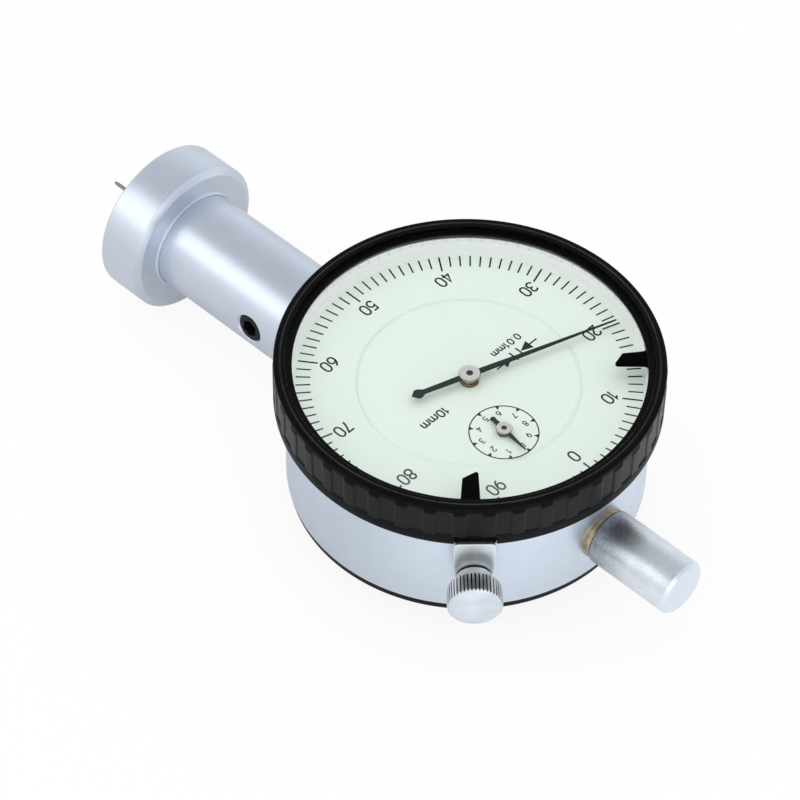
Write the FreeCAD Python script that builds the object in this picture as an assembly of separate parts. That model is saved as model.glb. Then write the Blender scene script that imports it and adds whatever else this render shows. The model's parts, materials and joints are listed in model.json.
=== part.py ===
import FreeCAD, Part
import math
import os

# Dial depth gauge with a fine needle, on a round measuring base.
#
# Frame: the origin is the centre of the base's measuring face, on the axis of the spindle.
# +Y runs along the spindle from the measuring face to the dust cap, +Z points out of the
# dial, and +X points to three o'clock. All sizes are in millimetres.
#
# The needle stands out of the face at rest. A spring pulls the spindle towards the face,
# a rack on the spindle turns the rack gear, and that drives the centre pinion with the
# main hand. The take-up gear on the far side of the pinion carries the small hand and the
# hairspring, which keeps all the teeth in contact on one side.

# Measuring base: a disc with a clamping sleeve
BASE_D = 25.0
BASE_H = 8.0
BASE_CHAMFER_WIDTH = 1.1
BASE_CHAMFER_HEIGHT = 0.8
BASE_EDGE_BREAK = 0.3
BASE_BEAD_WIDTH = 0.45
BASE_BEAD_HEIGHT = 0.3
SLEEVE_D = 16.0
SLEEVE_SPIGOT_D = 13.0
SLEEVE_SPIGOT_LENGTH = 5.0
SLEEVE_CASE_GAP = 0.1
NEEDLE_BORE_D = 5.2
SET_SCREW_D = 4.4
SET_SCREW_FROM_CASE = 11.1
SET_SCREW_TILT = 4.0
SET_SCREW_RECESS = 0.3
SET_SCREW_SOCKET_FLATS = 2.5
SET_SCREW_SOCKET_DEPTH = 1.8

# Stem and spindle
STEM_D = 8.0
STEM_BORE_D = 5.0
STEM_FLANGE_D = 11.0
STEM_FLANGE_T = 2.0
STEM_END_FROM_FACE = 15.0
BUSH_D = 6.0
BUSH_LENGTH = 6.0
SPINDLE_D = 4.0
HOLDER_LENGTH = 10.0
HOLDER_THREAD_D = 2.5
HOLDER_THREAD_LENGTH = 4.0
HOLDER_TIP_D = 2.2
HOLDER_TIP_LENGTH = 2.0
NEEDLE_D = 0.6
NEEDLE_SEAT = 4.0
NEEDLE_POINT_LENGTH = 0.5
TRAVEL = 10.2
HOLDER_FACE_CLEARANCE = 4.0
SPINDLE_TOP_GAP = 1.5

# Case
DIAL_Y = 65.7
DIAL_HEIGHT = 11.9
CASE_D = 53.5
CASE_WALL = 2.0
CASE_BOTTOM = -6.5
SPIGOT_STEP = 0.7
SPIGOT_GAP = 0.25
BACK_COVER_T = 1.5
BACK_COVER_STEP = 0.25
BACK_COVER_PILOT_H = 0.6
COVER_SCREW_INSET = 3.55
COVER_SCREW_D = 1.8
COVER_SCREW_HEAD_D = 3.8
COVER_SCREW_HEAD_H = 1.0
COVER_SCREW_LENGTH = 4.5
COVER_BOSS_D = 4.4
COVER_BOSS_H = 4.0
SHELF_WIDTH = 4.25
SHELF_T = 1.2

# Top bush and dust cap
CAP_COLLAR_D = 8.2
CAP_COLLAR_OUT = 0.65
CAP_NECK_D = 6.6
CAP_NECK_LENGTH = 4.9
CAP_D = 8.6
CAP_LENGTH = 14.3
CAP_END_T = 1.2
CAP_CHAMFER = 0.55
CAP_BORE_D = 4.8

# Bezel, in steps outwards from the case and upwards from the lip over the crystal
BEZEL_OVERHANG = 1.65
BEZEL_SEAM = -1.15
BEZEL_SKIRT_STEP = 1.15
BEZEL_SKIRT_GAP = 0.07
BEZEL_ROUND_H = 1.57
BEZEL_ROUND_STEP = 0.7
BEZEL_CREST_WIDTH = 1.0
BEZEL_CREST_H = 0.92
BEZEL_GROOVE_INSET = 0.35
BEZEL_GROOVE_WIDTH = 0.16
BEZEL_GROOVE_DEPTH = 0.12
LIP_REACH = 0.5
LIP_T = 0.35
GRIP_COUNT = 43
GRIP_DEPTH = 0.25
GRIP_FLOOR_WIDTH = 2.0
GRIP_MOUTH_WIDTH = 2.5
GRIP_RUNOUT = 0.15
GRIP_PHASE = -62.65
SEAT_RING_H = 1.57
SEAT_RING_WEB_T = 0.4
WIRE_D = 0.4
WIRE_BELOW_SEAM = 0.6
WIRE_SIDES = 8
WIRE_GAP_WIDTH = 5.8

# Dial, crystal and limit markers
DIAL_T = 0.4
DIAL_SPLIT_D = 32.4
DIAL_SPLIT_GAP = 0.08
RETAINER_WIDTH = 0.6
RETAINER_T = 0.45
SPACER_WIDTH = 0.58
SPACER_RIM_T = 0.2
CRYSTAL_T = 1.0
CRYSTAL_GAP = 0.35
MARKER_T = 0.4
MARKER_WIDTH = 2.9
MARKER_LENGTH = 5.55
MARKER_FOOT_WIDTH = 0.75
MARKER_FOOT_ANGLE = 13.0
MARKER_AZIMUTH = 47.0
DIAL_FOOT_D = 1.6
DIAL_FOOT_X = 9.0
DIAL_FOOT_Y = -5.0
MAIN_HOLE_D = 3.2
SMALL_HOLE_D = 2.4

# Bezel clamp
CLAMP_AZIMUTH = -45.3
CLAMP_DROP = 10.0
CLAMP_PLATE_WIDTH = 6.0
CLAMP_PLATE_T = 1.1
CLAMP_PLATE_STANDOFF = 1.55
CLAMP_PLATE_FOOT = 14.3
CLAMP_HOOK_T = 0.4
CLAMP_HOOK_OVERLAP = 0.3
CLAMP_CORNER_R = 0.7
CLAMP_ROUNDING = 0.4
CLAMP_NOTCH_CLEARANCE = 0.1
CLAMP_COLLAR_D = 5.3
CLAMP_COLLAR_LENGTH = 2.2
CLAMP_SCREW_D = 2.4
CLAMP_KNOB_D = 8.06
CLAMP_KNOB_LENGTH = 3.0
CLAMP_DOME_H = 0.5
CLAMP_FLUTES = 40
CLAMP_FLUTE_DEPTH = 0.22

# Movement: plates, pillars and screws
PLATE_EDGE_GAP = 2.25
PLATE_T = 1.0
PLATE_LEVEL = 2.5
PLATE_SPACING = 4.7
UPPER_PLATE_D = 33.0
PILLAR_D = 3.2
PILLAR_CIRCLE_D = 28.0
PILLAR_ANGLES = (-48.0, 12.0, 132.0, 192.0)
PLATE_SCREW_D = 1.4
PLATE_SCREW_HEAD_D = 2.6
PLATE_SCREW_HEAD_H = 0.6
PLATE_SCREW_LENGTH = 2.6
SHELF_SCREW_D = 1.6
SHELF_SCREW_HEAD_D = 3.0
SHELF_SCREW_HEAD_H = 0.9
SHELF_SCREW_LENGTH = 1.8
SHELF_SCREW_INSET = 1.5
SHELF_SCREW_ANGLES = (0.0, 135.0, 180.0, 315.0)
JEWEL_D = 1.8
JEWEL_T = 0.6
PIVOT_D = 0.6
ARBOR_D = 1.2
COCK_ARM_T = 1.0
COCK_WIDTH = 4.0
COCK_FOOT = 3.5
COCK_REACH = 6.0
COCK_SPINDLE_GAP = 0.4

# Gear train: 100 : 16 : 10 teeth, 0.625 mm pitch, so 10 mm of travel is one turn of the
# rack gear and ten turns of the main hand
TOOTH_PITCH = 0.625
RACK_PINION_TEETH = 16
WHEEL_TEETH = 100
CENTRE_PINION_TEETH = 10
PRESSURE_ANGLE = 20.0
BACKLASH = 0.05
RACK_FLAT_FROM_AXIS = 1.8
RACK_ADDENDUM = 0.9
WHEEL_T = 0.5
WHEEL_RIM = 1.2
WHEEL_HUB_D = 3.6
WHEEL_SPOKES = 5
WHEEL_SPOKE_WIDTH = 1.3
RACK_WHEEL_ABOVE_PLATE = 0.7
WHEEL_SPACING = 1.2
PINION_FACE = 2.6
SUB_DIAL_AZIMUTH = 20.4

# Springs
HAIRSPRING_ABOVE_WHEEL = 1.3
HAIRSPRING_H = 0.4
HAIRSPRING_WIRE = 0.12
HAIRSPRING_START_R = 1.2
HAIRSPRING_STEP = 0.4
HAIRSPRING_HALF_TURNS = 10
STUD_D = 1.0
SPRING_X = 7.0
SPRING_COIL_D = 2.6
SPRING_WIRE_D = 0.4
SPRING_TURNS = 8
SPRING_WIRE_SIDES = 8
SPRING_HOOK_LEG = 1.0
SPRING_POST_D = 1.6
SPRING_POST_FROM_SHELF = 2.7
GUIDE_PIN_D = 1.6
GUIDE_PIN_FROM_CENTRE = 3.7
GUIDE_PIN_OVERHANG = 1.3
GUIDE_RAIL_X = 3.2
GUIDE_RAIL_T = 2.0
GUIDE_RAIL_END = 1.8

# Hands, measured from the face of the dial, with the tail's spade in shares of the tail
HAND_T = 0.15
HANDS_GAP = 0.2
MAIN_HAND_TIP_GAP = 1.7
MAIN_HAND_TAIL = 9.4
MAIN_HAND_ROOT_WIDTH = 1.0
MAIN_HAND_TIP_WIDTH = 0.24
MAIN_HAND_TAIL_WIDTH = 1.7
MAIN_CAP_D = 3.2
MAIN_CAP_H = 0.35
MAIN_BOSS_D = 2.5
HAND_BOSS_SINK = 0.1
MAIN_BORE_D = 1.0
MAIN_READING_AZIMUTH = 70.8
SMALL_HAND_LEVEL = 0.55
SMALL_HAND_TIP = 4.9
SMALL_HAND_TAIL = 2.9
SMALL_HAND_ROOT_WIDTH = 0.55
SMALL_HAND_TIP_WIDTH = 0.15
SMALL_HAND_TAIL_WIDTH = 0.85
SMALL_CAP_D = 2.4
SMALL_CAP_H = 0.3
SMALL_BOSS_D = 1.7
SMALL_BORE_D = 0.8
SMALL_READING_AZIMUTH = -8.0
SPADE_START = 0.78
SPADE_WIDEST = 0.86
SPADE_SHOULDER = 0.92

# Clearances
RUNNING_FIT = 0.03
SLIDING_FIT = 0.05
SEAT_FIT = 0.02
PLAY = 0.1

# Derived radii of the case and the bezel
CASE_R = CASE_D / 2
CASE_INNER_R = CASE_R - CASE_WALL
SPIGOT_R = CASE_R - SPIGOT_STEP
SHELF_R = CASE_INNER_R - SHELF_WIDTH
COVER_R = CASE_R - BACK_COVER_STEP
COVER_SCREW_CIRCLE_R = CASE_R - COVER_SCREW_INSET
BEZEL_R = CASE_R + BEZEL_OVERHANG
BEZEL_BORE_R = SPIGOT_R + SLIDING_FIT
BEZEL_SKIRT_R = BEZEL_R - BEZEL_SKIRT_STEP
CREST_R = BEZEL_R - BEZEL_ROUND_STEP
CREST_INNER_R = CREST_R - BEZEL_CREST_WIDTH
WIRE_R = SPIGOT_R + SLIDING_FIT / 2
DIAL_R = BEZEL_BORE_R - SEAT_FIT
SPACER_RIM_R = DIAL_R - SPACER_RIM_T
MARKER_R = BEZEL_BORE_R - SLIDING_FIT
MAIN_HAND_TIP = BEZEL_BORE_R - MAIN_HAND_TIP_GAP
PLATE_R = CASE_INNER_R - PLATE_EDGE_GAP
SHELF_SCREW_CIRCLE_R = PLATE_R - SHELF_SCREW_INSET
CLAMP_PLATE_R = CASE_R + CLAMP_PLATE_STANDOFF

# Derived heights above the face of the dial
MAIN_HAND_LEVEL = SMALL_HAND_LEVEL + HAND_T + SMALL_CAP_H + HANDS_GAP
SPACER_SEAT_H = MAIN_HAND_LEVEL + HAND_T + MAIN_CAP_H + CRYSTAL_GAP
MARKER_H = SPACER_SEAT_H + CRYSTAL_T + SLIDING_FIT
LIP_BOTTOM = MARKER_H + MARKER_T + PLAY
LIP_TOP = LIP_BOTTOM + LIP_T
BEZEL_TOP = LIP_TOP + BEZEL_CREST_H
BEZEL_ROUND_START = BEZEL_TOP - BEZEL_ROUND_H
GRIP_TOP = BEZEL_ROUND_START + GRIP_RUNOUT
SEAT_RING_BOTTOM = BEZEL_SEAM - SEAT_RING_H
SEAT_RING_WEB_TOP = SEAT_RING_BOTTOM + SEAT_RING_WEB_T
BEZEL_SKIRT_BOTTOM = SEAT_RING_WEB_TOP + BEZEL_SKIRT_GAP

# Derived places in the frame
CASE_FRONT_Y = DIAL_Y - CASE_R
STEM_SEAT_Y = DIAL_Y - CASE_INNER_R
TOP_SEAT_Y = DIAL_Y + CASE_INNER_R
CAP_START_Y = DIAL_Y + CASE_R + CAP_COLLAR_OUT
CAP_END_Y = CAP_START_Y + CAP_LENGTH
SLEEVE_TOP_Y = CASE_FRONT_Y - SLEEVE_CASE_GAP
SHOULDER = DIAL_HEIGHT + SEAT_RING_BOTTOM
SPIGOT_TOP = DIAL_HEIGHT - DIAL_T - RETAINER_T - SPIGOT_GAP
WIRE_LEVEL = DIAL_HEIGHT + BEZEL_SEAM - WIRE_BELOW_SEAM
PLATE_TOP = PLATE_LEVEL + PLATE_T
UPPER_PLATE_LEVEL = PLATE_TOP + PLATE_SPACING
UPPER_PLATE_TOP = UPPER_PLATE_LEVEL + PLATE_T
RACK_WHEEL_LEVEL = PLATE_TOP + RACK_WHEEL_ABOVE_PLATE
TAKE_UP_WHEEL_LEVEL = RACK_WHEEL_LEVEL + WHEEL_SPACING
HAIRSPRING_LEVEL = TAKE_UP_WHEEL_LEVEL + HAIRSPRING_ABOVE_WHEEL
SPINDLE_TOP_Y = CAP_END_Y - CAP_END_T - TRAVEL - SPINDLE_TOP_GAP
HOLDER_BOTTOM_Y = HOLDER_FACE_CLEARANCE
HOLDER_TOP_Y = HOLDER_BOTTOM_Y + HOLDER_LENGTH
CLAMP_LEVEL = DIAL_HEIGHT - CLAMP_DROP
CLAMP_SCREW_START = CASE_INNER_R + PLAY
GUIDE_PIN_Y = DIAL_Y - GUIDE_PIN_FROM_CENTRE
SPRING_POST_Y = DIAL_Y - SHELF_R + SPRING_POST_FROM_SHELF
SET_SCREW_Y = CASE_FRONT_Y - SET_SCREW_FROM_CASE
CRYSTAL_LEVEL = DIAL_HEIGHT + SPACER_SEAT_H
MARKER_LEVEL = DIAL_HEIGHT + MARKER_H

# Derived places of the gear train
MODULE = TOOTH_PITCH / math.pi
WHEEL_R = WHEEL_TEETH * MODULE / 2
RACK_PINION_R = RACK_PINION_TEETH * MODULE / 2
CENTRE_PINION_R = CENTRE_PINION_TEETH * MODULE / 2
CENTRE_DISTANCE = WHEEL_R + CENTRE_PINION_R
RACK_PITCH_LINE = RACK_FLAT_FROM_AXIS - RACK_ADDENDUM * MODULE
RACK_ARBOR_X = -(RACK_PITCH_LINE + RACK_PINION_R)
RACK_ARBOR_DROP = math.sqrt(CENTRE_DISTANCE ** 2 - RACK_ARBOR_X ** 2)
RACK_ARBOR_Y = DIAL_Y - RACK_ARBOR_DROP
TAKE_UP_X = CENTRE_DISTANCE * math.sin(math.radians(SUB_DIAL_AZIMUTH))
TAKE_UP_Y = DIAL_Y + CENTRE_DISTANCE * math.cos(math.radians(SUB_DIAL_AZIMUTH))
RACK_MESH_ANGLE = math.degrees(math.atan2(RACK_ARBOR_DROP, -RACK_ARBOR_X))
TAKE_UP_MESH_ANGLE = 90.0 - SUB_DIAL_AZIMUTH
COCK_TOP = -(SPINDLE_D / 2 + COCK_SPINDLE_GAP)


def vec(x, y, z):
    return FreeCAD.Vector(x, y, z)


X_AXIS = vec(1, 0, 0)
Y_AXIS = vec(0, 1, 0)
Z_AXIS = vec(0, 0, 1)


def cylinder_z(d, low, high, x=0.0, y=DIAL_Y):
    """Upright cylinder from one height to another."""
    return Part.makeCylinder(d / 2, high - low, vec(x, y, low), Z_AXIS)


def cylinder_y(d, low, high, x=0.0, z=0.0):
    """Cylinder along the spindle's direction."""
    return Part.makeCylinder(d / 2, high - low, vec(x, low, z), Y_AXIS)


def ring_z(outer_d, inner_d, low, high, x=0.0, y=DIAL_Y):
    """Flat ring about an upright axis."""
    return cylinder_z(outer_d, low, high, x, y).cut(cylinder_z(inner_d, low, high, x, y))


def turned_z(profile, x=0.0, y=DIAL_Y):
    """Turn a closed (radius, height) outline about an upright axis."""
    points = [vec(x + r, y, z) for r, z in profile]
    face = Part.Face(Part.makePolygon(points + points[:1]))
    return face.revolve(vec(x, y, 0), Z_AXIS, 360)


def turned_y(profile, x=0.0, z=0.0):
    """Turn a closed (radius, y) outline about an axis along the spindle's direction."""
    points = [vec(x + r, y, z) for r, y in profile]
    face = Part.Face(Part.makePolygon(points + points[:1]))
    return face.revolve(vec(x, 0, z), Y_AXIS, 360)


def prism_z(points, low, high):
    """Upright prism over a closed outline of (x, y) points."""
    corners = [vec(x, y, low) for x, y in points]
    return Part.Face(Part.makePolygon(corners + corners[:1])).extrude(vec(0, 0, high - low))


def box(x0, x1, y0, y1, z0, z1):
    return Part.makeBox(x1 - x0, y1 - y0, z1 - z0, vec(x0, y0, z0))


def turned_about_dial(shape, azimuth):
    """Swing a shape that was made at twelve o'clock, counter-clockwise about the dial."""
    swung = shape.copy()
    swung.rotate(vec(0, DIAL_Y, 0), Z_AXIS, azimuth)
    return swung


def on_circle(r, angle):
    """Point on a circle about the dial centre, the angle counted from +X."""
    a = math.radians(angle)
    return r * math.cos(a), DIAL_Y + r * math.sin(a)


def fused(shapes):
    """One solid out of several that touch."""
    first, *others = shapes
    return first.fuse(others).removeSplitter()


def involute(angle):
    return math.tan(angle) - angle


def half_tooth_angle(teeth, radius):
    """Half of a tooth's width at a radius, as an angle in radians."""
    pitch_r = teeth * MODULE / 2
    pressure = math.radians(PRESSURE_ANGLE)
    base_r = pitch_r * math.cos(pressure)
    at_pitch = math.pi / (2 * teeth) - BACKLASH / (4 * pitch_r)
    if radius <= base_r:
        return at_pitch + involute(pressure)
    return at_pitch + involute(pressure) - involute(math.acos(base_r / radius))


def gear_outline(teeth, steps, phase, x, y, addendum=1.0):
    """Outline of a spur gear with a tooth centred at the phase angle, in degrees."""
    pitch_r = teeth * MODULE / 2
    root_r = pitch_r - 1.25 * MODULE
    tip_r = pitch_r + addendum * MODULE
    points = []
    for tooth in range(teeth):
        middle = math.radians(phase + tooth * 360 / teeth)
        radii = [root_r + (tip_r - root_r) * i / steps for i in range(steps + 1)]
        flank = [(r, half_tooth_angle(teeth, r)) for r in radii]
        polar = [(r, middle - half) for r, half in flank]
        polar += [(r, middle + half) for r, half in reversed(flank)]
        points += [(x + r * math.cos(a), y + r * math.sin(a)) for r, a in polar]
    return points


def wheel(phase, low, x, y):
    """Hundred-tooth wheel with spokes, on a thicker hub bored for its arbor."""
    high = low + WHEEL_T
    blank = prism_z(gear_outline(WHEEL_TEETH, 1, phase, x, y), low, high)
    rim_inner_d = 2 * (WHEEL_R - WHEEL_RIM)
    window = ring_z(rim_inner_d, WHEEL_HUB_D, low, high, x, y)
    spokes = []
    for i in range(WHEEL_SPOKES):
        spoke = box(x, x + WHEEL_R - WHEEL_RIM / 2, y - WHEEL_SPOKE_WIDTH / 2,
                    y + WHEEL_SPOKE_WIDTH / 2, low, high)
        spoke.rotate(vec(x, y, 0), Z_AXIS, phase + i * 360 / WHEEL_SPOKES)
        spokes.append(spoke)
    body = blank.cut(window.cut(spokes))
    return body.cut(cylinder_z(ARBOR_D, low, high, x, y))


def arbor(bottom, top, pivot, shoulders, x, y):
    """Stepped arbor: a pivot at the bottom, and (diameter, height) steps above it."""
    profile = [(0, bottom), (PIVOT_D / 2, bottom), (PIVOT_D / 2, bottom + pivot)]
    level = bottom + pivot
    for d, end in shoulders:
        profile += [(d / 2, level), (d / 2, end)]
        level = end
    if level < top:
        profile += [(PIVOT_D / 2, level), (PIVOT_D / 2, top)]
    profile.append((0, top))
    return turned_z(profile, x, y)


# Measuring base
def make_base_disc():
    r = BASE_D / 2
    spigot_r = SLEEVE_SPIGOT_D / 2 + SEAT_FIT
    spigot_y = BASE_H - SLEEVE_SPIGOT_LENGTH
    bore_r = NEEDLE_BORE_D / 2
    bead_r = SLEEVE_D / 2 + BASE_BEAD_WIDTH
    profile = [
        (bore_r, 0), (r - BASE_EDGE_BREAK, 0), (r, BASE_EDGE_BREAK),
        (r, BASE_H - BASE_CHAMFER_HEIGHT), (r - BASE_CHAMFER_WIDTH, BASE_H),
        (bead_r, BASE_H), (bead_r - BASE_BEAD_WIDTH / 3, BASE_H + BASE_BEAD_HEIGHT),
        (SLEEVE_D / 2 + SEAT_FIT, BASE_H + BASE_BEAD_HEIGHT),
        (SLEEVE_D / 2 + SEAT_FIT, BASE_H), (spigot_r, BASE_H),
        (spigot_r, spigot_y), (bore_r, spigot_y),
    ]
    return turned_y(profile)


def make_sleeve():
    spigot_y = BASE_H - SLEEVE_SPIGOT_LENGTH
    stem_r = STEM_D / 2 + SEAT_FIT
    profile = [
        (NEEDLE_BORE_D / 2, spigot_y), (SLEEVE_SPIGOT_D / 2, spigot_y),
        (SLEEVE_SPIGOT_D / 2, BASE_H), (SLEEVE_D / 2, BASE_H), (SLEEVE_D / 2, SLEEVE_TOP_Y),
        (stem_r, SLEEVE_TOP_Y), (stem_r, STEM_END_FROM_FACE - PLAY),
        (NEEDLE_BORE_D / 2, STEM_END_FROM_FACE - PLAY),
    ]
    hole = Part.makeCylinder(SET_SCREW_D / 2 + SEAT_FIT, SLEEVE_D, vec(0, SET_SCREW_Y, 0), X_AXIS)
    hole.rotate(vec(0, SET_SCREW_Y, 0), Y_AXIS, -SET_SCREW_TILT)
    return turned_y(profile).cut(hole)


def make_set_screw():
    """Hexagon socket set screw that bears on the stem."""
    inner = STEM_D / 2 + SEAT_FIT
    outer = SLEEVE_D / 2 - SET_SCREW_RECESS
    screw = Part.makeCylinder(SET_SCREW_D / 2, outer - inner, vec(inner, SET_SCREW_Y, 0), X_AXIS)
    corner_r = SET_SCREW_SOCKET_FLATS / math.sqrt(3)
    corners = []
    for i in range(6):
        a = math.radians(60 * i)
        corners.append(vec(outer, SET_SCREW_Y + corner_r * math.cos(a), corner_r * math.sin(a)))
    socket = Part.Face(Part.makePolygon(corners + corners[:1]))
    screw = screw.cut(socket.extrude(vec(-SET_SCREW_SOCKET_DEPTH, 0, 0)))
    screw.rotate(vec(0, SET_SCREW_Y, 0), Y_AXIS, -SET_SCREW_TILT)
    return screw


# Stem, spindle and needle
def make_stem():
    flange_top = STEM_SEAT_Y + STEM_FLANGE_T
    bush_top = STEM_END_FROM_FACE + BUSH_LENGTH
    bush_r = BUSH_D / 2 + SEAT_FIT
    profile = [
        (bush_r, STEM_END_FROM_FACE), (STEM_D / 2, STEM_END_FROM_FACE),
        (STEM_D / 2, STEM_SEAT_Y), (STEM_FLANGE_D / 2, STEM_SEAT_Y),
        (STEM_FLANGE_D / 2, flange_top), (STEM_BORE_D / 2, flange_top),
        (STEM_BORE_D / 2, bush_top), (bush_r, bush_top),
    ]
    return turned_y(profile)


def make_stem_bush():
    bore_d = SPINDLE_D + 2 * RUNNING_FIT
    end = STEM_END_FROM_FACE + BUSH_LENGTH
    outer = cylinder_y(BUSH_D, STEM_END_FROM_FACE, end)
    return outer.cut(cylinder_y(bore_d, STEM_END_FROM_FACE, end))


def rack_teeth():
    """Solid that cuts the tooth spaces, one of them centred on the rack pinion."""
    tip = RACK_FLAT_FROM_AXIS
    root = RACK_PITCH_LINE - 1.25 * MODULE
    slope = math.tan(math.radians(PRESSURE_ANGLE))
    half_space = TOOTH_PITCH / 4 + BACKLASH / 4
    count = math.ceil((TRAVEL + 2 * TOOTH_PITCH) / TOOTH_PITCH)
    spaces = []
    for i in range(-1, count):
        y = RACK_ARBOR_Y - i * TOOTH_PITCH
        at_tip = half_space + (tip + PLAY - RACK_PITCH_LINE) * slope
        at_root = half_space - (RACK_PITCH_LINE - root) * slope
        outline = [(-tip - PLAY, y - at_tip), (-root, y - at_root),
                   (-root, y + at_root), (-tip - PLAY, y + at_tip)]
        spaces.append(prism_z(outline, -SPINDLE_D, SPINDLE_D))
    return spaces


def make_spindle():
    rod = turned_y([
        (HOLDER_THREAD_D / 2 + SEAT_FIT, HOLDER_TOP_Y), (SPINDLE_D / 2, HOLDER_TOP_Y),
        (SPINDLE_D / 2, SPINDLE_TOP_Y - BASE_EDGE_BREAK),
        (SPINDLE_D / 2 - BASE_EDGE_BREAK, SPINDLE_TOP_Y), (0, SPINDLE_TOP_Y),
        (0, HOLDER_TOP_Y + HOLDER_THREAD_LENGTH + PLAY),
        (HOLDER_THREAD_D / 2 + SEAT_FIT, HOLDER_TOP_Y + HOLDER_THREAD_LENGTH + PLAY),
    ])
    pinion_reach = RACK_PINION_R + MODULE + PLAY
    flat_start = RACK_ARBOR_Y - TRAVEL - pinion_reach
    flat_end = RACK_ARBOR_Y + pinion_reach
    flat = box(-SPINDLE_D, -RACK_FLAT_FROM_AXIS, flat_start, flat_end, -SPINDLE_D, SPINDLE_D)
    pin_hole = Part.makeCylinder(GUIDE_PIN_D / 2, SPINDLE_D, vec(0, GUIDE_PIN_Y, 0), X_AXIS)
    return rod.cut([flat, pin_hole] + rack_teeth())


def make_needle_holder():
    needle_r = NEEDLE_D / 2
    seat_y = HOLDER_BOTTOM_Y + NEEDLE_SEAT
    thread_top = HOLDER_TOP_Y + HOLDER_THREAD_LENGTH
    profile = [
        (needle_r, HOLDER_BOTTOM_Y), (HOLDER_TIP_D / 2, HOLDER_BOTTOM_Y),
        (SPINDLE_D / 2, HOLDER_BOTTOM_Y + HOLDER_TIP_LENGTH), (SPINDLE_D / 2, HOLDER_TOP_Y),
        (HOLDER_THREAD_D / 2, HOLDER_TOP_Y), (HOLDER_THREAD_D / 2, thread_top),
        (0, thread_top), (0, seat_y), (needle_r, seat_y),
    ]
    return turned_y(profile)


def make_needle():
    r = NEEDLE_D / 2
    seat_y = HOLDER_BOTTOM_Y + NEEDLE_SEAT
    profile = [(0, -TRAVEL), (r / 2, -TRAVEL), (r, NEEDLE_POINT_LENGTH - TRAVEL),
               (r, seat_y), (0, seat_y)]
    return turned_y(profile)


def make_guide_pin():
    length = SPRING_X + GUIDE_PIN_OVERHANG
    pin = Part.makeCylinder(GUIDE_PIN_D / 2, length, vec(0, GUIDE_PIN_Y, 0), X_AXIS)
    return pin


def make_guide_rail():
    """Slotted block under the plate that stops the spindle from turning."""
    half_slot = GUIDE_PIN_D / 2 + SLIDING_FIT
    slot_low = GUIDE_PIN_Y - GUIDE_PIN_D / 2 - PLAY
    slot_high = GUIDE_PIN_Y + TRAVEL + GUIDE_PIN_D / 2 + PLAY
    block = box(GUIDE_RAIL_X, GUIDE_RAIL_X + GUIDE_RAIL_T, slot_low - GUIDE_RAIL_END,
                slot_high + GUIDE_RAIL_END, -PLATE_LEVEL, PLATE_LEVEL)
    slot = box(GUIDE_RAIL_X, GUIDE_RAIL_X + GUIDE_RAIL_T, slot_low, slot_high,
               -half_slot, half_slot)
    return block.cut(slot)


# Case and back cover
def make_case_body():
    shelf_top = PLATE_LEVEL
    profile = [
        (CASE_INNER_R, CASE_BOTTOM), (CASE_R, CASE_BOTTOM), (CASE_R, SHOULDER),
        (SPIGOT_R, SHOULDER), (SPIGOT_R, SPIGOT_TOP), (CASE_INNER_R, SPIGOT_TOP),
        (CASE_INNER_R, shelf_top), (SHELF_R, shelf_top), (SHELF_R, shelf_top - SHELF_T),
        (CASE_INNER_R, shelf_top - SHELF_T),
    ]
    case = turned_z(profile)
    bosses = []
    for x, y in cover_screw_places():
        bosses.append(cylinder_z(COVER_BOSS_D, CASE_BOTTOM, CASE_BOTTOM + COVER_BOSS_H, x, y))
    inside = cylinder_z(CASE_D - CASE_WALL, CASE_BOTTOM, SHOULDER)
    case = fused([case] + [boss.common(inside) for boss in bosses])
    clear = STEM_FLANGE_D + 2 * PLAY
    shelf_gap = math.sqrt(SHELF_R ** 2 - clear ** 2 / 4)
    reach = CASE_INNER_R - shelf_gap + PLAY
    cuts = [
        cylinder_y(STEM_D + 2 * SEAT_FIT, CASE_FRONT_Y - CASE_WALL, STEM_SEAT_Y),
        cylinder_y(clear, STEM_SEAT_Y, STEM_SEAT_Y + reach),
        cylinder_y(CAP_COLLAR_D + 2 * SEAT_FIT, TOP_SEAT_Y, TOP_SEAT_Y + 2 * CASE_WALL),
        cylinder_y(clear, TOP_SEAT_Y - reach, TOP_SEAT_Y),
        wire_groove(),
    ]
    for x, y in cover_screw_places():
        cuts.append(cylinder_z(COVER_SCREW_D, CASE_BOTTOM, CASE_BOTTOM + COVER_BOSS_H, x, y))
    for angle in SHELF_SCREW_ANGLES:
        x, y = on_circle(SHELF_SCREW_CIRCLE_R, angle)
        cuts.append(cylinder_z(SHELF_SCREW_D, shelf_top - SHELF_T, shelf_top, x, y))
    screw_hole = Part.makeCylinder(CLAMP_SCREW_D / 2 + SLIDING_FIT, 2 * CASE_WALL,
                                   vec(0, TOP_SEAT_Y - CASE_WALL / 2, CLAMP_LEVEL), Y_AXIS)
    cuts.append(turned_about_dial(screw_hole, CLAMP_AZIMUTH))
    return case.cut(cuts)


def cover_screw_places():
    return [on_circle(COVER_SCREW_CIRCLE_R, 45 + 90 * i) for i in range(4)]


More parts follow.
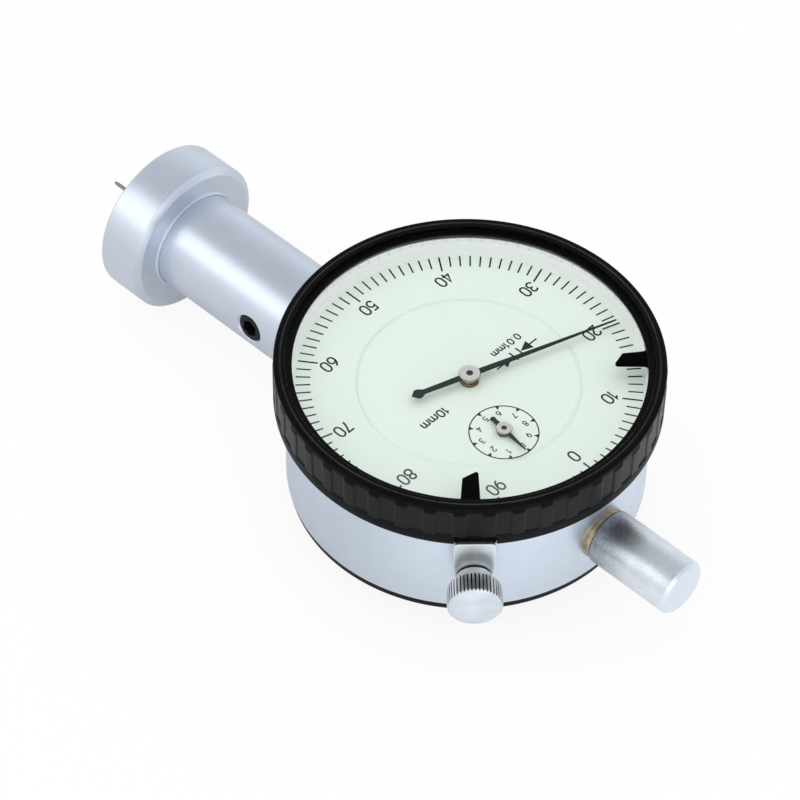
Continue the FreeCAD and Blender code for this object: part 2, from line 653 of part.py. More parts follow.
def make_back_cover():
    bottom = CASE_BOTTOM - BACK_COVER_T
    pilot_r = CASE_INNER_R - PLAY
    pilot_top = CASE_BOTTOM + BACK_COVER_PILOT_H
    profile = [
        (0, bottom), (COVER_R - BASE_EDGE_BREAK, bottom), (COVER_R, bottom + BASE_EDGE_BREAK),
        (COVER_R, CASE_BOTTOM), (pilot_r, CASE_BOTTOM), (pilot_r, pilot_top), (0, pilot_top),
    ]
    cover = turned_z(profile)
    cuts = []
    for x, y in cover_screw_places():
        boss_d = COVER_BOSS_D + 2 * PLAY
        cuts.append(cylinder_z(boss_d, CASE_BOTTOM, pilot_top, x, y))
        cuts.append(cylinder_z(COVER_SCREW_D, bottom, CASE_BOTTOM, x, y))
        cuts.append(countersunk_head(x, y, bottom))
    return cover.cut(cuts)


def countersunk_head(x, y, bottom):
    wide = COVER_SCREW_HEAD_D / 2
    narrow = COVER_SCREW_D / 2
    return Part.makeCone(wide, narrow, COVER_SCREW_HEAD_H, vec(x, y, bottom), Z_AXIS)


def make_back_cover_screws():
    bottom = CASE_BOTTOM - BACK_COVER_T
    screws = []
    for x, y in cover_screw_places():
        shank = cylinder_z(COVER_SCREW_D, bottom, bottom + COVER_SCREW_LENGTH, x, y)
        screws.append(fused([countersunk_head(x, y, bottom), shank]))
    return Part.makeCompound(screws)


def make_top_bush():
    """Brass bush that guides the top of the spindle and carries the dust cap."""
    collar_r = CAP_COLLAR_D / 2
    bore_r = SPINDLE_D / 2 + RUNNING_FIT
    flange_y = TOP_SEAT_Y - STEM_FLANGE_T
    neck_top = CAP_START_Y + CAP_NECK_LENGTH
    profile = [
        (bore_r, flange_y), (STEM_FLANGE_D / 2, flange_y), (STEM_FLANGE_D / 2, TOP_SEAT_Y),
        (collar_r, TOP_SEAT_Y), (collar_r, CAP_START_Y), (CAP_NECK_D / 2, CAP_START_Y),
        (CAP_NECK_D / 2, neck_top), (bore_r, neck_top),
    ]
    return turned_y(profile)


def make_dust_cap():
    neck_r = CAP_NECK_D / 2 + SEAT_FIT
    neck_top = CAP_START_Y + CAP_NECK_LENGTH + PLAY
    bore_end = CAP_END_Y - CAP_END_T
    profile = [
        (neck_r, CAP_START_Y), (CAP_D / 2, CAP_START_Y), (CAP_D / 2, CAP_END_Y - CAP_CHAMFER),
        (CAP_D / 2 - CAP_CHAMFER, CAP_END_Y), (0, CAP_END_Y), (0, bore_end),
        (CAP_BORE_D / 2, bore_end), (CAP_BORE_D / 2, neck_top), (neck_r, neck_top),
    ]
    return turned_y(profile)


# Bezel group
def make_bezel_seat_ring():
    """Fixed ring under the bezel, notched for the hook of the clamp."""
    bottom = SHOULDER
    seam = DIAL_HEIGHT + BEZEL_SEAM
    web_top = DIAL_HEIGHT + SEAT_RING_WEB_TOP
    groove_r = BEZEL_SKIRT_R + SLIDING_FIT
    profile = [
        (SPIGOT_R, bottom), (BEZEL_R, bottom), (BEZEL_R, seam - SLIDING_FIT),
        (groove_r, seam - SLIDING_FIT), (groove_r, web_top), (SPIGOT_R, web_top),
    ]
    half = CLAMP_PLATE_WIDTH / 2 + CLAMP_NOTCH_CLEARANCE
    notch = box(-half, half, DIAL_Y + CASE_R - PLAY, DIAL_Y + 2 * BEZEL_R, bottom, seam)
    return turned_z(profile).cut(turned_about_dial(notch, CLAMP_AZIMUTH))


def make_bezel():
    """Turning bezel with grip flats, a rounded crest and a thin lip over the crystal."""
    def point(r, level):
        return vec(r, DIAL_Y, DIAL_HEIGHT + level)

    groove = CREST_R - BEZEL_GROOVE_INSET
    half = BEZEL_GROOVE_WIDTH / 2
    lip_r = BEZEL_BORE_R - LIP_REACH
    corners = [
        point(CREST_R, BEZEL_TOP), point(groove + half, BEZEL_TOP),
        point(groove, BEZEL_TOP - BEZEL_GROOVE_DEPTH), point(groove - half, BEZEL_TOP),
        point(CREST_INNER_R, BEZEL_TOP), point(CREST_INNER_R - PLAY, BEZEL_TOP - PLAY),
        point(CREST_INNER_R - PLAY, LIP_TOP), point(lip_r, LIP_TOP), point(lip_r, LIP_BOTTOM),
        point(BEZEL_BORE_R, LIP_BOTTOM), point(BEZEL_BORE_R, BEZEL_SKIRT_BOTTOM),
        point(BEZEL_SKIRT_R, BEZEL_SKIRT_BOTTOM), point(BEZEL_SKIRT_R, BEZEL_SEAM),
        point(BEZEL_R, BEZEL_SEAM), point(BEZEL_R, BEZEL_ROUND_START),
    ]
    middle = point(BEZEL_R - 0.3 * BEZEL_ROUND_STEP, BEZEL_TOP - 0.4 * BEZEL_ROUND_H)
    crown = Part.Arc(corners[-1], middle, corners[0]).toShape()
    wire = Part.Wire(Part.makePolygon(corners).Edges + [crown])
    bezel = Part.Face(wire).revolve(vec(0, DIAL_Y, 0), Z_AXIS, 360)
    return bezel.cut(wire_groove()).cut(grip_recesses())


def wire_groove():
    """Ring that cuts half a groove into the case and half into the bezel."""
    half = WIRE_D / 2 + PLAY
    return ring_z(2 * (WIRE_R + half), 2 * (WIRE_R - half), WIRE_LEVEL - half, WIRE_LEVEL + half)


def grip_recesses():
    """Flat recesses between the lands of the grip, open at the bottom of the bezel."""
    floor = DIAL_Y + BEZEL_R - GRIP_DEPTH
    mouth = floor + 2 * GRIP_DEPTH
    flare = GRIP_MOUTH_WIDTH - GRIP_FLOOR_WIDTH
    outline = [(-GRIP_FLOOR_WIDTH / 2, floor), (GRIP_FLOOR_WIDTH / 2, floor),
               (GRIP_FLOOR_WIDTH / 2 + flare, mouth), (-GRIP_FLOOR_WIDTH / 2 - flare, mouth)]
    cut = prism_z(outline, DIAL_HEIGHT + BEZEL_SEAM - PLAY, DIAL_HEIGHT + GRIP_TOP)
    step = 360 / GRIP_COUNT
    return [turned_about_dial(cut, GRIP_PHASE + i * step) for i in range(GRIP_COUNT)]


def make_bezel_wire():
    """Open ring of drawn wire that holds the bezel on the case and drags on it."""
    half_side = 180 / WIRE_SIDES
    profile = []
    for i in range(WIRE_SIDES):
        a = math.radians(half_side + 2 * half_side * i)
        profile.append((WIRE_R + WIRE_D / 2 * math.cos(a), WIRE_LEVEL + WIRE_D / 2 * math.sin(a)))
    gap = box(-WIRE_GAP_WIDTH / 2, WIRE_GAP_WIDTH / 2, DIAL_Y, DIAL_Y + CASE_D,
              SHOULDER, DIAL_HEIGHT)
    return turned_z(profile).cut(gap)


def make_dial_ring():
    return ring_z(2 * DIAL_R, DIAL_SPLIT_D, DIAL_HEIGHT - DIAL_T, DIAL_HEIGHT)


def make_dial_retainer():
    top = DIAL_HEIGHT - DIAL_T
    inner_d = 2 * (DIAL_R - RETAINER_WIDTH)
    return ring_z(2 * DIAL_R, inner_d, top - RETAINER_T, top)


def make_dial_spacer():
    """White ring that holds the crystal off the dial."""
    seat = CRYSTAL_LEVEL
    inner_r = DIAL_R - SPACER_WIDTH
    profile = [
        (inner_r, DIAL_HEIGHT), (DIAL_R, DIAL_HEIGHT), (DIAL_R, seat + CRYSTAL_T),
        (SPACER_RIM_R, seat + CRYSTAL_T), (SPACER_RIM_R, seat), (inner_r, seat),
    ]
    return turned_z(profile)


def make_crystal():
    crystal_d = 2 * (SPACER_RIM_R - SEAT_FIT)
    return cylinder_z(crystal_d, CRYSTAL_LEVEL, CRYSTAL_LEVEL + CRYSTAL_T)


def make_limit_marker(side):
    """Pointer that slides under the lip of the bezel. Side is 1 left of twelve, -1 right."""
    half = MARKER_WIDTH / 2
    tip = DIAL_Y + MARKER_R - MARKER_LENGTH
    foot_inner = MARKER_R - MARKER_FOOT_WIDTH
    slant = 0.6 * MARKER_WIDTH
    outline = [(half, DIAL_Y + foot_inner + PLAY), (-half, DIAL_Y + foot_inner + PLAY),
               (-half, tip + 0.5 * slant), (half - slant, tip), (half, tip)]
    if side < 0:
        outline = [(-x, y) for x, y in outline]
    top = MARKER_LEVEL + MARKER_T
    tongue = prism_z(outline, MARKER_LEVEL, top)
    foot = ring_z(2 * MARKER_R, 2 * foot_inner, MARKER_LEVEL, top)
    a = math.radians(MARKER_FOOT_ANGLE / 2)
    x, y = CASE_D * math.sin(a), DIAL_Y + CASE_D * math.cos(a)
    wedge = prism_z([(0, DIAL_Y), (x, y), (-x, y)], MARKER_LEVEL, top)
    marker = fused([tongue, foot.common(wedge)])
    return turned_about_dial(marker, side * MARKER_AZIMUTH)


# Bezel clamp
def make_clamp_bracket():
    """Bent plate with a foot on the case and a hook in the notch of the seat ring."""
    half = CLAMP_PLATE_WIDTH / 2
    outer = DIAL_Y + CLAMP_PLATE_R
    inner = outer - CLAMP_PLATE_T
    touch = DIAL_Y + CASE_R + SEAT_FIT
    low = DIAL_HEIGHT - CLAMP_PLATE_FOOT
    high = SHOULDER
    hook_top = DIAL_HEIGHT + BEZEL_SKIRT_BOTTOM + CLAMP_HOOK_OVERLAP
    hook_inner = DIAL_Y + BEZEL_SKIRT_R + PLAY
    plate = box(-half, half, inner, outer, low, high)
    through = [edge for edge in plate.Edges
               if not edge_on_plane(edge, outer) and not edge_on_plane(edge, inner)]
    plate = plate.makeFillet(CLAMP_CORNER_R, through)
    edges = [edge for edge in plate.Edges if edge_on_plane(edge, outer)]
    plate = plate.makeFillet(CLAMP_ROUNDING, edges)
    flat = half - CLAMP_CORNER_R
    foot = box(-flat, flat, touch, inner + PLAY, low, low + CLAMP_PLATE_T)
    hook = box(-flat, flat, hook_inner, hook_inner + CLAMP_HOOK_T, high - CLAMP_PLATE_T,
               hook_top)
    hole = cylinder_y(CLAMP_SCREW_D + 4 * SLIDING_FIT, inner - CASE_WALL, outer, 0, CLAMP_LEVEL)
    bracket = fused([plate, foot, hook]).cut(hole)
    return turned_about_dial(bracket, CLAMP_AZIMUTH)


def edge_on_plane(edge, y):
    """True where all of an edge lies at one distance along +Y."""
    return all(abs(vertex.Point.y - y) < SEAT_FIT for vertex in edge.Vertexes)


def make_clamp_screw():
    """Knurled knob with a plain collar, a domed end and a threaded shank."""
    shank_r = CLAMP_SCREW_D / 2
    start = CLAMP_SCREW_START
    collar = CLAMP_PLATE_R + SLIDING_FIT
    knob = collar + CLAMP_COLLAR_LENGTH
    end = knob + CLAMP_KNOB_LENGTH
    knob_r = CLAMP_KNOB_D / 2
    bevel = CLAMP_FLUTE_DEPTH
    corners = [(0, start), (shank_r, start), (shank_r, collar), (CLAMP_COLLAR_D / 2, collar),
               (CLAMP_COLLAR_D / 2, knob), (knob_r - bevel, knob), (knob_r, knob + bevel),
               (knob_r, end - bevel), (knob_r - bevel, end)]
    points = [vec(r, DIAL_Y + y, CLAMP_LEVEL) for r, y in corners]
    top = vec(0, DIAL_Y + end + CLAMP_DOME_H, CLAMP_LEVEL)
    half_r = (knob_r - bevel) / 2
    dome = Part.Arc(points[-1], vec(half_r, DIAL_Y + end + 0.75 * CLAMP_DOME_H, CLAMP_LEVEL), top)
    axis_line = Part.makeLine(top, points[0])
    wire = Part.Wire(Part.makePolygon(points).Edges + [dome.toShape(), axis_line])
    screw = Part.Face(wire).revolve(vec(0, DIAL_Y, CLAMP_LEVEL), Y_AXIS, 360)
    screw = screw.cut(knob_flutes(knob_r, DIAL_Y + knob, DIAL_Y + end))
    return turned_about_dial(screw, CLAMP_AZIMUTH)


def knob_flutes(knob_r, start, end):
    """Straight V grooves round the knob."""
    pitch_angle = math.radians(360 / CLAMP_FLUTES)
    mouth = 0.55 * knob_r * pitch_angle
    flutes = []
    for i in range(CLAMP_FLUTES):
        corners = [vec(knob_r - CLAMP_FLUTE_DEPTH, start, CLAMP_LEVEL),
                   vec(knob_r + CLAMP_FLUTE_DEPTH, start, CLAMP_LEVEL - mouth),
                   vec(knob_r + CLAMP_FLUTE_DEPTH, start, CLAMP_LEVEL + mouth)]
        flute = Part.Face(Part.makePolygon(corners + corners[:1])).extrude(vec(0, end - start, 0))
        flute.rotate(vec(0, 0, CLAMP_LEVEL), Y_AXIS, i * 360 / CLAMP_FLUTES)
        flutes.append(flute)
    return flutes


# Movement plates
def jewel_places():
    """Each jewel's x, y and lowest height."""
    top_level = UPPER_PLATE_TOP - JEWEL_T
    low_level = PLATE_TOP - JEWEL_T
    return {
        "rack_bottom": (RACK_ARBOR_X, RACK_ARBOR_Y, COCK_TOP - JEWEL_T),
        "rack_top": (RACK_ARBOR_X, RACK_ARBOR_Y, top_level),
        "centre_bottom": (0, DIAL_Y, low_level),
        "centre_top": (0, DIAL_Y, top_level),
        "take_up_bottom": (TAKE_UP_X, TAKE_UP_Y, low_level),
        "take_up_top": (TAKE_UP_X, TAKE_UP_Y, top_level),
    }


JEWEL_BORES = {"centre_top": MAIN_BORE_D, "take_up_top": SMALL_BORE_D}


def make_jewels():
    jewels = []
    for name, (x, y, low) in jewel_places().items():
        bore = JEWEL_BORES.get(name, PIVOT_D) + 2 * RUNNING_FIT
        jewels.append(ring_z(JEWEL_D, bore, low, low + JEWEL_T, x, y))
    return Part.makeCompound(jewels)


def jewel_seats(names, depth):
    """Cylinders that seat the named jewels, with a clearance hole for the arbor below."""
    cuts = []
    for name in names:
        x, y, low = jewel_places()[name]
        cuts.append(cylinder_z(JEWEL_D, low, low + JEWEL_T + PLAY, x, y))
        cuts.append(cylinder_z(ARBOR_D + 2 * PLAY, low - depth, low, x, y))
    return cuts


def make_lower_plate():
    low = PLATE_LEVEL
    top = PLATE_TOP
    plate = cylinder_z(2 * PLATE_R, low, top)
    pinion_pass = RACK_PINION_TEETH * MODULE + 4 * MODULE
    cuts = jewel_seats(["centre_bottom", "take_up_bottom"], PLATE_T)
    cuts.append(cylinder_z(pinion_pass, low, top, RACK_ARBOR_X, RACK_ARBOR_Y))
    for angle in SHELF_SCREW_ANGLES:
        cuts.append(cylinder_z(SHELF_SCREW_D, low, top, *on_circle(SHELF_SCREW_CIRCLE_R, angle)))
    return plate.cut(cuts)


def make_upper_plate():
    low = UPPER_PLATE_LEVEL
    top = UPPER_PLATE_TOP
    plate = cylinder_z(UPPER_PLATE_D, low, top)
    cuts = jewel_seats(["rack_top", "centre_top", "take_up_top"], PLATE_T)
    for x, y in pillar_places():
        cuts.append(cylinder_z(PLATE_SCREW_D, low, top, x, y))
    for x, y in dial_foot_places():
        cuts.append(cylinder_z(DIAL_FOOT_D + 2 * SEAT_FIT, low, top, x, y))
    return plate.cut(cuts)


def pillar_places():
    return [on_circle(PILLAR_CIRCLE_D / 2, angle) for angle in PILLAR_ANGLES]


def dial_foot_places():
    return [(DIAL_FOOT_X, DIAL_Y + DIAL_FOOT_Y), (-DIAL_FOOT_X, DIAL_Y - DIAL_FOOT_Y)]


def make_pillars():
    low = PLATE_TOP
    depth = PLATE_SCREW_LENGTH - PLATE_T + PLAY
    pillars = []
    for x, y in pillar_places():
        pillar = cylinder_z(PILLAR_D, low, UPPER_PLATE_LEVEL, x, y)
        hole = cylinder_z(PLATE_SCREW_D, UPPER_PLATE_LEVEL - depth, UPPER_PLATE_LEVEL, x, y)
        pillars.append(pillar.cut(hole))
    return Part.makeCompound(pillars)


def cheese_head_screw(x, y, seat, shank_d, length, head_d, head_h):
    """Slotted screw with its head standing on the seat and its shank below."""
    head = cylinder_z(head_d, seat, seat + head_h, x, y)
    shank = cylinder_z(shank_d, seat - length, seat, x, y)
    slot = box(x - head_d, x + head_d, y - head_d / 12, y + head_d / 12,
               seat + head_h / 2, seat + head_h)
    return fused([head, shank]).cut(slot)


def make_upper_plate_screws():
    return Part.makeCompound([
        cheese_head_screw(x, y, UPPER_PLATE_TOP, PLATE_SCREW_D, PLATE_SCREW_LENGTH,
                          PLATE_SCREW_HEAD_D, PLATE_SCREW_HEAD_H)
        for x, y in pillar_places()])


def make_lower_plate_screws():
    places = [on_circle(SHELF_SCREW_CIRCLE_R, angle) for angle in SHELF_SCREW_ANGLES]
    return Part.makeCompound([
        cheese_head_screw(x, y, PLATE_TOP, SHELF_SCREW_D, SHELF_SCREW_LENGTH,
                          SHELF_SCREW_HEAD_D, SHELF_SCREW_HEAD_H)
        for x, y in places])


def make_pinion_cock():
    """Bracket under the plate that reaches below the spindle to the rack pinion's pivot."""
    arm_low = COCK_TOP - COCK_ARM_T
    foot_x = RACK_ARBOR_X - COCK_REACH
    half = COCK_WIDTH / 2
    arm = box(foot_x, RACK_ARBOR_X, RACK_ARBOR_Y - half, RACK_ARBOR_Y + half, arm_low, COCK_TOP)
    nose = cylinder_z(COCK_WIDTH, arm_low, COCK_TOP, RACK_ARBOR_X, RACK_ARBOR_Y)
    foot = box(foot_x, foot_x + COCK_FOOT, RACK_ARBOR_Y - half, RACK_ARBOR_Y + half,
               arm_low, PLATE_LEVEL)
    return fused([arm, nose, foot]).cut(jewel_seats(["rack_bottom"], COCK_ARM_T))


# Gear train
def make_rack_arbor():
    bottom = COCK_TOP - JEWEL_T
    pinion_top = PINION_FACE / 2
    shaft = arbor(bottom, UPPER_PLATE_TOP, JEWEL_T + PLAY, [(ARBOR_D, UPPER_PLATE_LEVEL)],
                  RACK_ARBOR_X, RACK_ARBOR_Y)
    outline = gear_outline(RACK_PINION_TEETH, 4, 0, RACK_ARBOR_X, RACK_ARBOR_Y)
    collar_low = RACK_WHEEL_LEVEL + WHEEL_T
    collar = cylinder_z(WHEEL_HUB_D - ARBOR_D, collar_low, collar_low + WHEEL_T,
                        RACK_ARBOR_X, RACK_ARBOR_Y)
    return fused([shaft, prism_z(outline, -pinion_top, pinion_top), collar])


def make_rack_wheel():
    return wheel(RACK_MESH_ANGLE, RACK_WHEEL_LEVEL, RACK_ARBOR_X, RACK_ARBOR_Y)


def centre_pinion_phase():
    """A space of the pinion faces the tooth of the rack wheel."""
    return RACK_MESH_ANGLE + 180 + 180 / CENTRE_PINION_TEETH


def make_centre_arbor():
    bottom = PLATE_TOP - JEWEL_T
    low = PLATE_TOP + PLAY
    pinion_low = RACK_WHEEL_LEVEL - PLAY
    top = DIAL_HEIGHT + MAIN_HAND_LEVEL + HAND_T
    core_d = 2 * (CENTRE_PINION_R - 1.25 * MODULE)
    shaft = arbor(bottom, top, low - bottom,
                  [(ARBOR_D, pinion_low), (core_d, pinion_low + PINION_FACE),
                   (ARBOR_D, UPPER_PLATE_LEVEL), (MAIN_BORE_D, top)], 0, DIAL_Y)
    outline = gear_outline(CENTRE_PINION_TEETH, 4, centre_pinion_phase(), 0, DIAL_Y)
    return fused([shaft, prism_z(outline, pinion_low, pinion_low + PINION_FACE)])


def take_up_phase():
    """Angle of a take-up wheel tooth that fits the pinion as it stands."""
    step = 360 / CENTRE_PINION_TEETH
    off = (centre_pinion_phase() - TAKE_UP_MESH_ANGLE) % step
    ratio = CENTRE_PINION_TEETH / WHEEL_TEETH
    return TAKE_UP_MESH_ANGLE + 180 - off * ratio + 180 / WHEEL_TEETH


def make_take_up_wheel():
    return wheel(take_up_phase(), TAKE_UP_WHEEL_LEVEL, TAKE_UP_X, TAKE_UP_Y)


def make_take_up_arbor():
    bottom = PLATE_TOP - JEWEL_T
    low = PLATE_TOP + PLAY
    top = DIAL_HEIGHT + SMALL_HAND_LEVEL + HAND_T
    collet_d = 2 * HAIRSPRING_START_R - HAIRSPRING_WIRE - 2 * SLIDING_FIT
    shaft = arbor(bottom, top, low - bottom,
                  [(ARBOR_D, HAIRSPRING_LEVEL), (collet_d, HAIRSPRING_LEVEL + HAIRSPRING_H),
                   (ARBOR_D, UPPER_PLATE_LEVEL), (SMALL_BORE_D, top)], TAKE_UP_X, TAKE_UP_Y)
    return shaft


# Springs
def spiral_edges(start_r, reverse):
    """Half circles that grow by one step, centred turn by turn on either side."""
    edges = []
    x = TAKE_UP_X
    r = start_r
    side = 1
    for _ in range(HAIRSPRING_HALF_TURNS):
        start = vec(x + side * r, TAKE_UP_Y, HAIRSPRING_LEVEL)
        middle = vec(x, TAKE_UP_Y + side * r, HAIRSPRING_LEVEL)
        end = vec(x - side * r, TAKE_UP_Y, HAIRSPRING_LEVEL)
        edges.append(Part.Arc(start, middle, end).toShape())
        x += side * HAIRSPRING_STEP
        r += HAIRSPRING_STEP
        side = -side
    return edges[::-1] if reverse else edges


def hairspring_end():
    """Outer end of the spiral, as a distance from the arbor along X."""
    shift = HAIRSPRING_STEP if HAIRSPRING_HALF_TURNS % 2 else 0.0
    r = HAIRSPRING_START_R + HAIRSPRING_HALF_TURNS * HAIRSPRING_STEP
    side = -1 if HAIRSPRING_HALF_TURNS % 2 else 1
    return side * r + shift


def make_hairspring():
    half = HAIRSPRING_WIRE / 2
    outer = spiral_edges(HAIRSPRING_START_R + half, False)
    inner = spiral_edges(HAIRSPRING_START_R - half, True)
    ends = [Part.makeLine(outer[-1].lastVertex().Point, inner[0].lastVertex().Point),
            Part.makeLine(inner[-1].firstVertex().Point, outer[0].firstVertex().Point)]
    wire = Part.Wire(Part.__sortEdges__(outer + inner + ends))
    return Part.Face(wire).extrude(vec(0, 0, HAIRSPRING_H))


def make_hairspring_stud():
    """Post that hangs from the upper plate and holds the outer end of the hairspring."""
    direction = 1 if hairspring_end() > 0 else -1
    x = TAKE_UP_X + hairspring_end() + direction * (STUD_D / 2 + HAIRSPRING_WIRE / 2 + SEAT_FIT)
    return cylinder_z(STUD_D, HAIRSPRING_LEVEL - PLAY, UPPER_PLATE_LEVEL, x, TAKE_UP_Y)


def make_return_spring():
    """Extension spring from the post on the plate to the guide pin on the spindle."""
    wire_r = SPRING_WIRE_D / 2
    coil_r = SPRING_COIL_D / 2
    eye_r = SPRING_POST_D / 2 + SLIDING_FIT + wire_r
    start = SPRING_POST_Y + eye_r + SPRING_HOOK_LEG
    end = GUIDE_PIN_Y - eye_r - SPRING_HOOK_LEG
    helix = Part.makeHelix((end - start) / SPRING_TURNS, end - start, coil_r)
    helix.rotate(vec(0, 0, 0), X_AXIS, -90)
    helix.translate(vec(SPRING_X, start, 0))
    section = []
    for i in range(SPRING_WIRE_SIDES):
        a = 2 * math.pi * i / SPRING_WIRE_SIDES
        x = SPRING_X + coil_r + wire_r * math.cos(a)
        section.append(vec(x, start + wire_r * math.sin(a), 0))
    section = Part.Wire(Part.makePolygon(section + section[:1]))
    coil = Part.Wire(helix).makePipeShell([section], True, True)
    legs = [
        box(SPRING_X - wire_r, SPRING_X + coil_r + wire_r, start - 2 * wire_r, start,
            -wire_r, wire_r),
        box(SPRING_X - wire_r, SPRING_X + coil_r + wire_r, end, end + 2 * wire_r,
            -wire_r, wire_r),
        cylinder_y(SPRING_WIRE_D, SPRING_POST_Y + eye_r, start, SPRING_X),
        cylinder_y(SPRING_WIRE_D, end, GUIDE_PIN_Y - eye_r, SPRING_X),
    ]
    eyes = [
        Part.makeTorus(eye_r, wire_r, vec(SPRING_X, SPRING_POST_Y, 0), Z_AXIS),
        Part.makeTorus(eye_r, wire_r, vec(SPRING_X, GUIDE_PIN_Y, 0), X_AXIS),
    ]
    return fused([coil] + legs + eyes)


def make_spring_post():
    low = -SPRING_POST_D
    return cylinder_z(SPRING_POST_D, low, PLATE_LEVEL, SPRING_X, SPRING_POST_Y)


# Dial centre, hands and their hubs
def make_dial_centre():
    """Fixed middle of the dial on two feet, with holes for the two arbors."""
    low = DIAL_HEIGHT - DIAL_T
    disc = cylinder_z(DIAL_SPLIT_D - 2 * DIAL_SPLIT_GAP, low, DIAL_HEIGHT)
    feet = [cylinder_z(DIAL_FOOT_D, UPPER_PLATE_LEVEL, low, x, y)
            for x, y in dial_foot_places()]
    holes = [cylinder_z(MAIN_HOLE_D, low, DIAL_HEIGHT),
             cylinder_z(SMALL_HOLE_D, low, DIAL_HEIGHT, TAKE_UP_X, TAKE_UP_Y)]
    return fused([disc] + feet).cut(holes)


def hand(tip, tail, widths, bore_d, level, x, y, azimuth):
    """Tapered pointer with a spade tail, pointing at an azimuth from twelve o'clock."""
    root, end, spade = (width / 2 for width in widths)
    neck = 0.85 * root
    start, widest, shoulder = (tail * k for k in (SPADE_START, SPADE_WIDEST, SPADE_SHOULDER))
    outline = [
        (-root, 0), (-end, tip), (end, tip), (root, 0), (neck, -start), (spade, -widest),
        (spade, -shoulder), (0, -tail), (-spade, -shoulder), (-spade, -widest), (-neck, -start),
    ]
    low = DIAL_HEIGHT + level
    shape = prism_z([(x + px, y + py) for px, py in outline], low, low + HAND_T)
    shape = fused([shape, cylinder_z(1.6 * bore_d, low, low + HAND_T, x, y)])
    shape = shape.cut(cylinder_z(bore_d, low, low + HAND_T, x, y))
    shape.rotate(vec(x, y, 0), Z_AXIS, azimuth)
    return shape


def make_main_hand():
    widths = (MAIN_HAND_ROOT_WIDTH, MAIN_HAND_TIP_WIDTH, MAIN_HAND_TAIL_WIDTH)
    return hand(MAIN_HAND_TIP, MAIN_HAND_TAIL, widths, MAIN_BORE_D, MAIN_HAND_LEVEL,
                0, DIAL_Y, MAIN_READING_AZIMUTH)


def make_small_hand():
    widths = (SMALL_HAND_ROOT_WIDTH, SMALL_HAND_TIP_WIDTH, SMALL_HAND_TAIL_WIDTH)
    return hand(SMALL_HAND_TIP, SMALL_HAND_TAIL, widths, SMALL_BORE_D, SMALL_HAND_LEVEL,
                TAKE_UP_X, TAKE_UP_Y, SMALL_READING_AZIMUTH)


def hand_cap(cap_d, cap_h, bore_d, level, x, y):
    """Nickel cap with bevelled edges on top of a hand."""
    low = DIAL_HEIGHT + level + HAND_T
    r = cap_d / 2
    bevel = cap_h / 3
    return turned_z([(bore_d / 2, low), (r - bevel / 2, low), (r, low + bevel),
                     (r, low + 2 * bevel), (r - bevel, low + cap_h), (bore_d / 2, low + cap_h)],
                    x, y)


def hand_boss(boss_d, bore_d, level, x, y):
    """Brass boss under a hand, with a turned waist."""
    low = DIAL_HEIGHT - HAND_BOSS_SINK
    high = DIAL_HEIGHT + level
    r = boss_d / 2
    waist = 0.12 * boss_d
    third = (high - low) / 3
    return turned_z([(bore_d / 2, low), (r, low), (r, low + third), (r - waist, low + third),
                     (r - waist, high - third), (r, high - third), (r, high),
                     (bore_d / 2, high)], x, y)


def make_main_hand_cap():
    return hand_cap(MAIN_CAP_D, MAIN_CAP_H, MAIN_BORE_D, MAIN_HAND_LEVEL, 0, DIAL_Y)


def make_small_hand_cap():
    return hand_cap(SMALL_CAP_D, SMALL_CAP_H, SMALL_BORE_D, SMALL_HAND_LEVEL,
                    TAKE_UP_X, TAKE_UP_Y)


def make_main_hand_boss():
    return hand_boss(MAIN_BOSS_D, MAIN_BORE_D, MAIN_HAND_LEVEL, 0, DIAL_Y)


def make_small_hand_boss():
    return hand_boss(SMALL_BOSS_D, SMALL_BORE_D, SMALL_HAND_LEVEL, TAKE_UP_X, TAKE_UP_Y)


NODES = {
    "base_disc": make_base_disc,
    "sleeve": make_sleeve,
    "sleeve_set_screw": make_set_screw,
    "stem": make_stem,
    "stem_bush": make_stem_bush,
    "case_body": make_case_body,
    "back_cover": make_back_cover,
    "back_cover_screws": make_back_cover_screws,
    "top_bush": make_top_bush,
    "dust_cap": make_dust_cap,
    "bezel_seat_ring": make_bezel_seat_ring,
    "clamp_bracket": make_clamp_bracket,
    "clamp_screw": make_clamp_screw,
    "bezel": make_bezel,
    "bezel_wire": make_bezel_wire,
    "dial_ring": make_dial_ring,
    "dial_retainer": make_dial_retainer,
    "dial_spacer": make_dial_spacer,
    "crystal": make_crystal,
    "limit_marker_left": lambda: make_limit_marker(1),
    "limit_marker_right": lambda: make_limit_marker(-1),
    "dial_centre": make_dial_centre,
    "lower_plate": make_lower_plate,
    "lower_plate_screws": make_lower_plate_screws,
    "upper_plate": make_upper_plate,
    "upper_plate_screws": make_upper_plate_screws,
    "plate_pillars": make_pillars,
    "pinion_cock": make_pinion_cock,
    "jewels": make_jewels,
    "spindle": make_spindle,
    "needle_holder": make_needle_holder,
    "needle": make_needle,
    "guide_pin": make_guide_pin,
    "guide_rail": make_guide_rail,
    "return_spring": make_return_spring,
    "spring_post": make_spring_post,
    "rack_arbor": make_rack_arbor,
    "rack_wheel": make_rack_wheel,
    "centre_arbor": make_centre_arbor,
    "take_up_arbor": make_take_up_arbor,
    "take_up_wheel": make_take_up_wheel,
    "hairspring": make_hairspring,
    "hairspring_stud": make_hairspring_stud,
    "main_hand": make_main_hand,
    "main_hand_boss": make_main_hand_boss,
    "main_hand_cap": make_main_hand_cap,
    "small_hand": make_small_hand,
    "small_hand_boss": make_small_hand_boss,
    "small_hand_cap": make_small_hand_cap,
}


def main():
    os.makedirs("parts", exist_ok=True)
    for name, make in NODES.items():
        shape = make()
        print(name, len(shape.Solids), round(shape.Volume, 3), shape.isValid())
        shape.exportStep(os.path.join("parts", name + ".step"))


main()
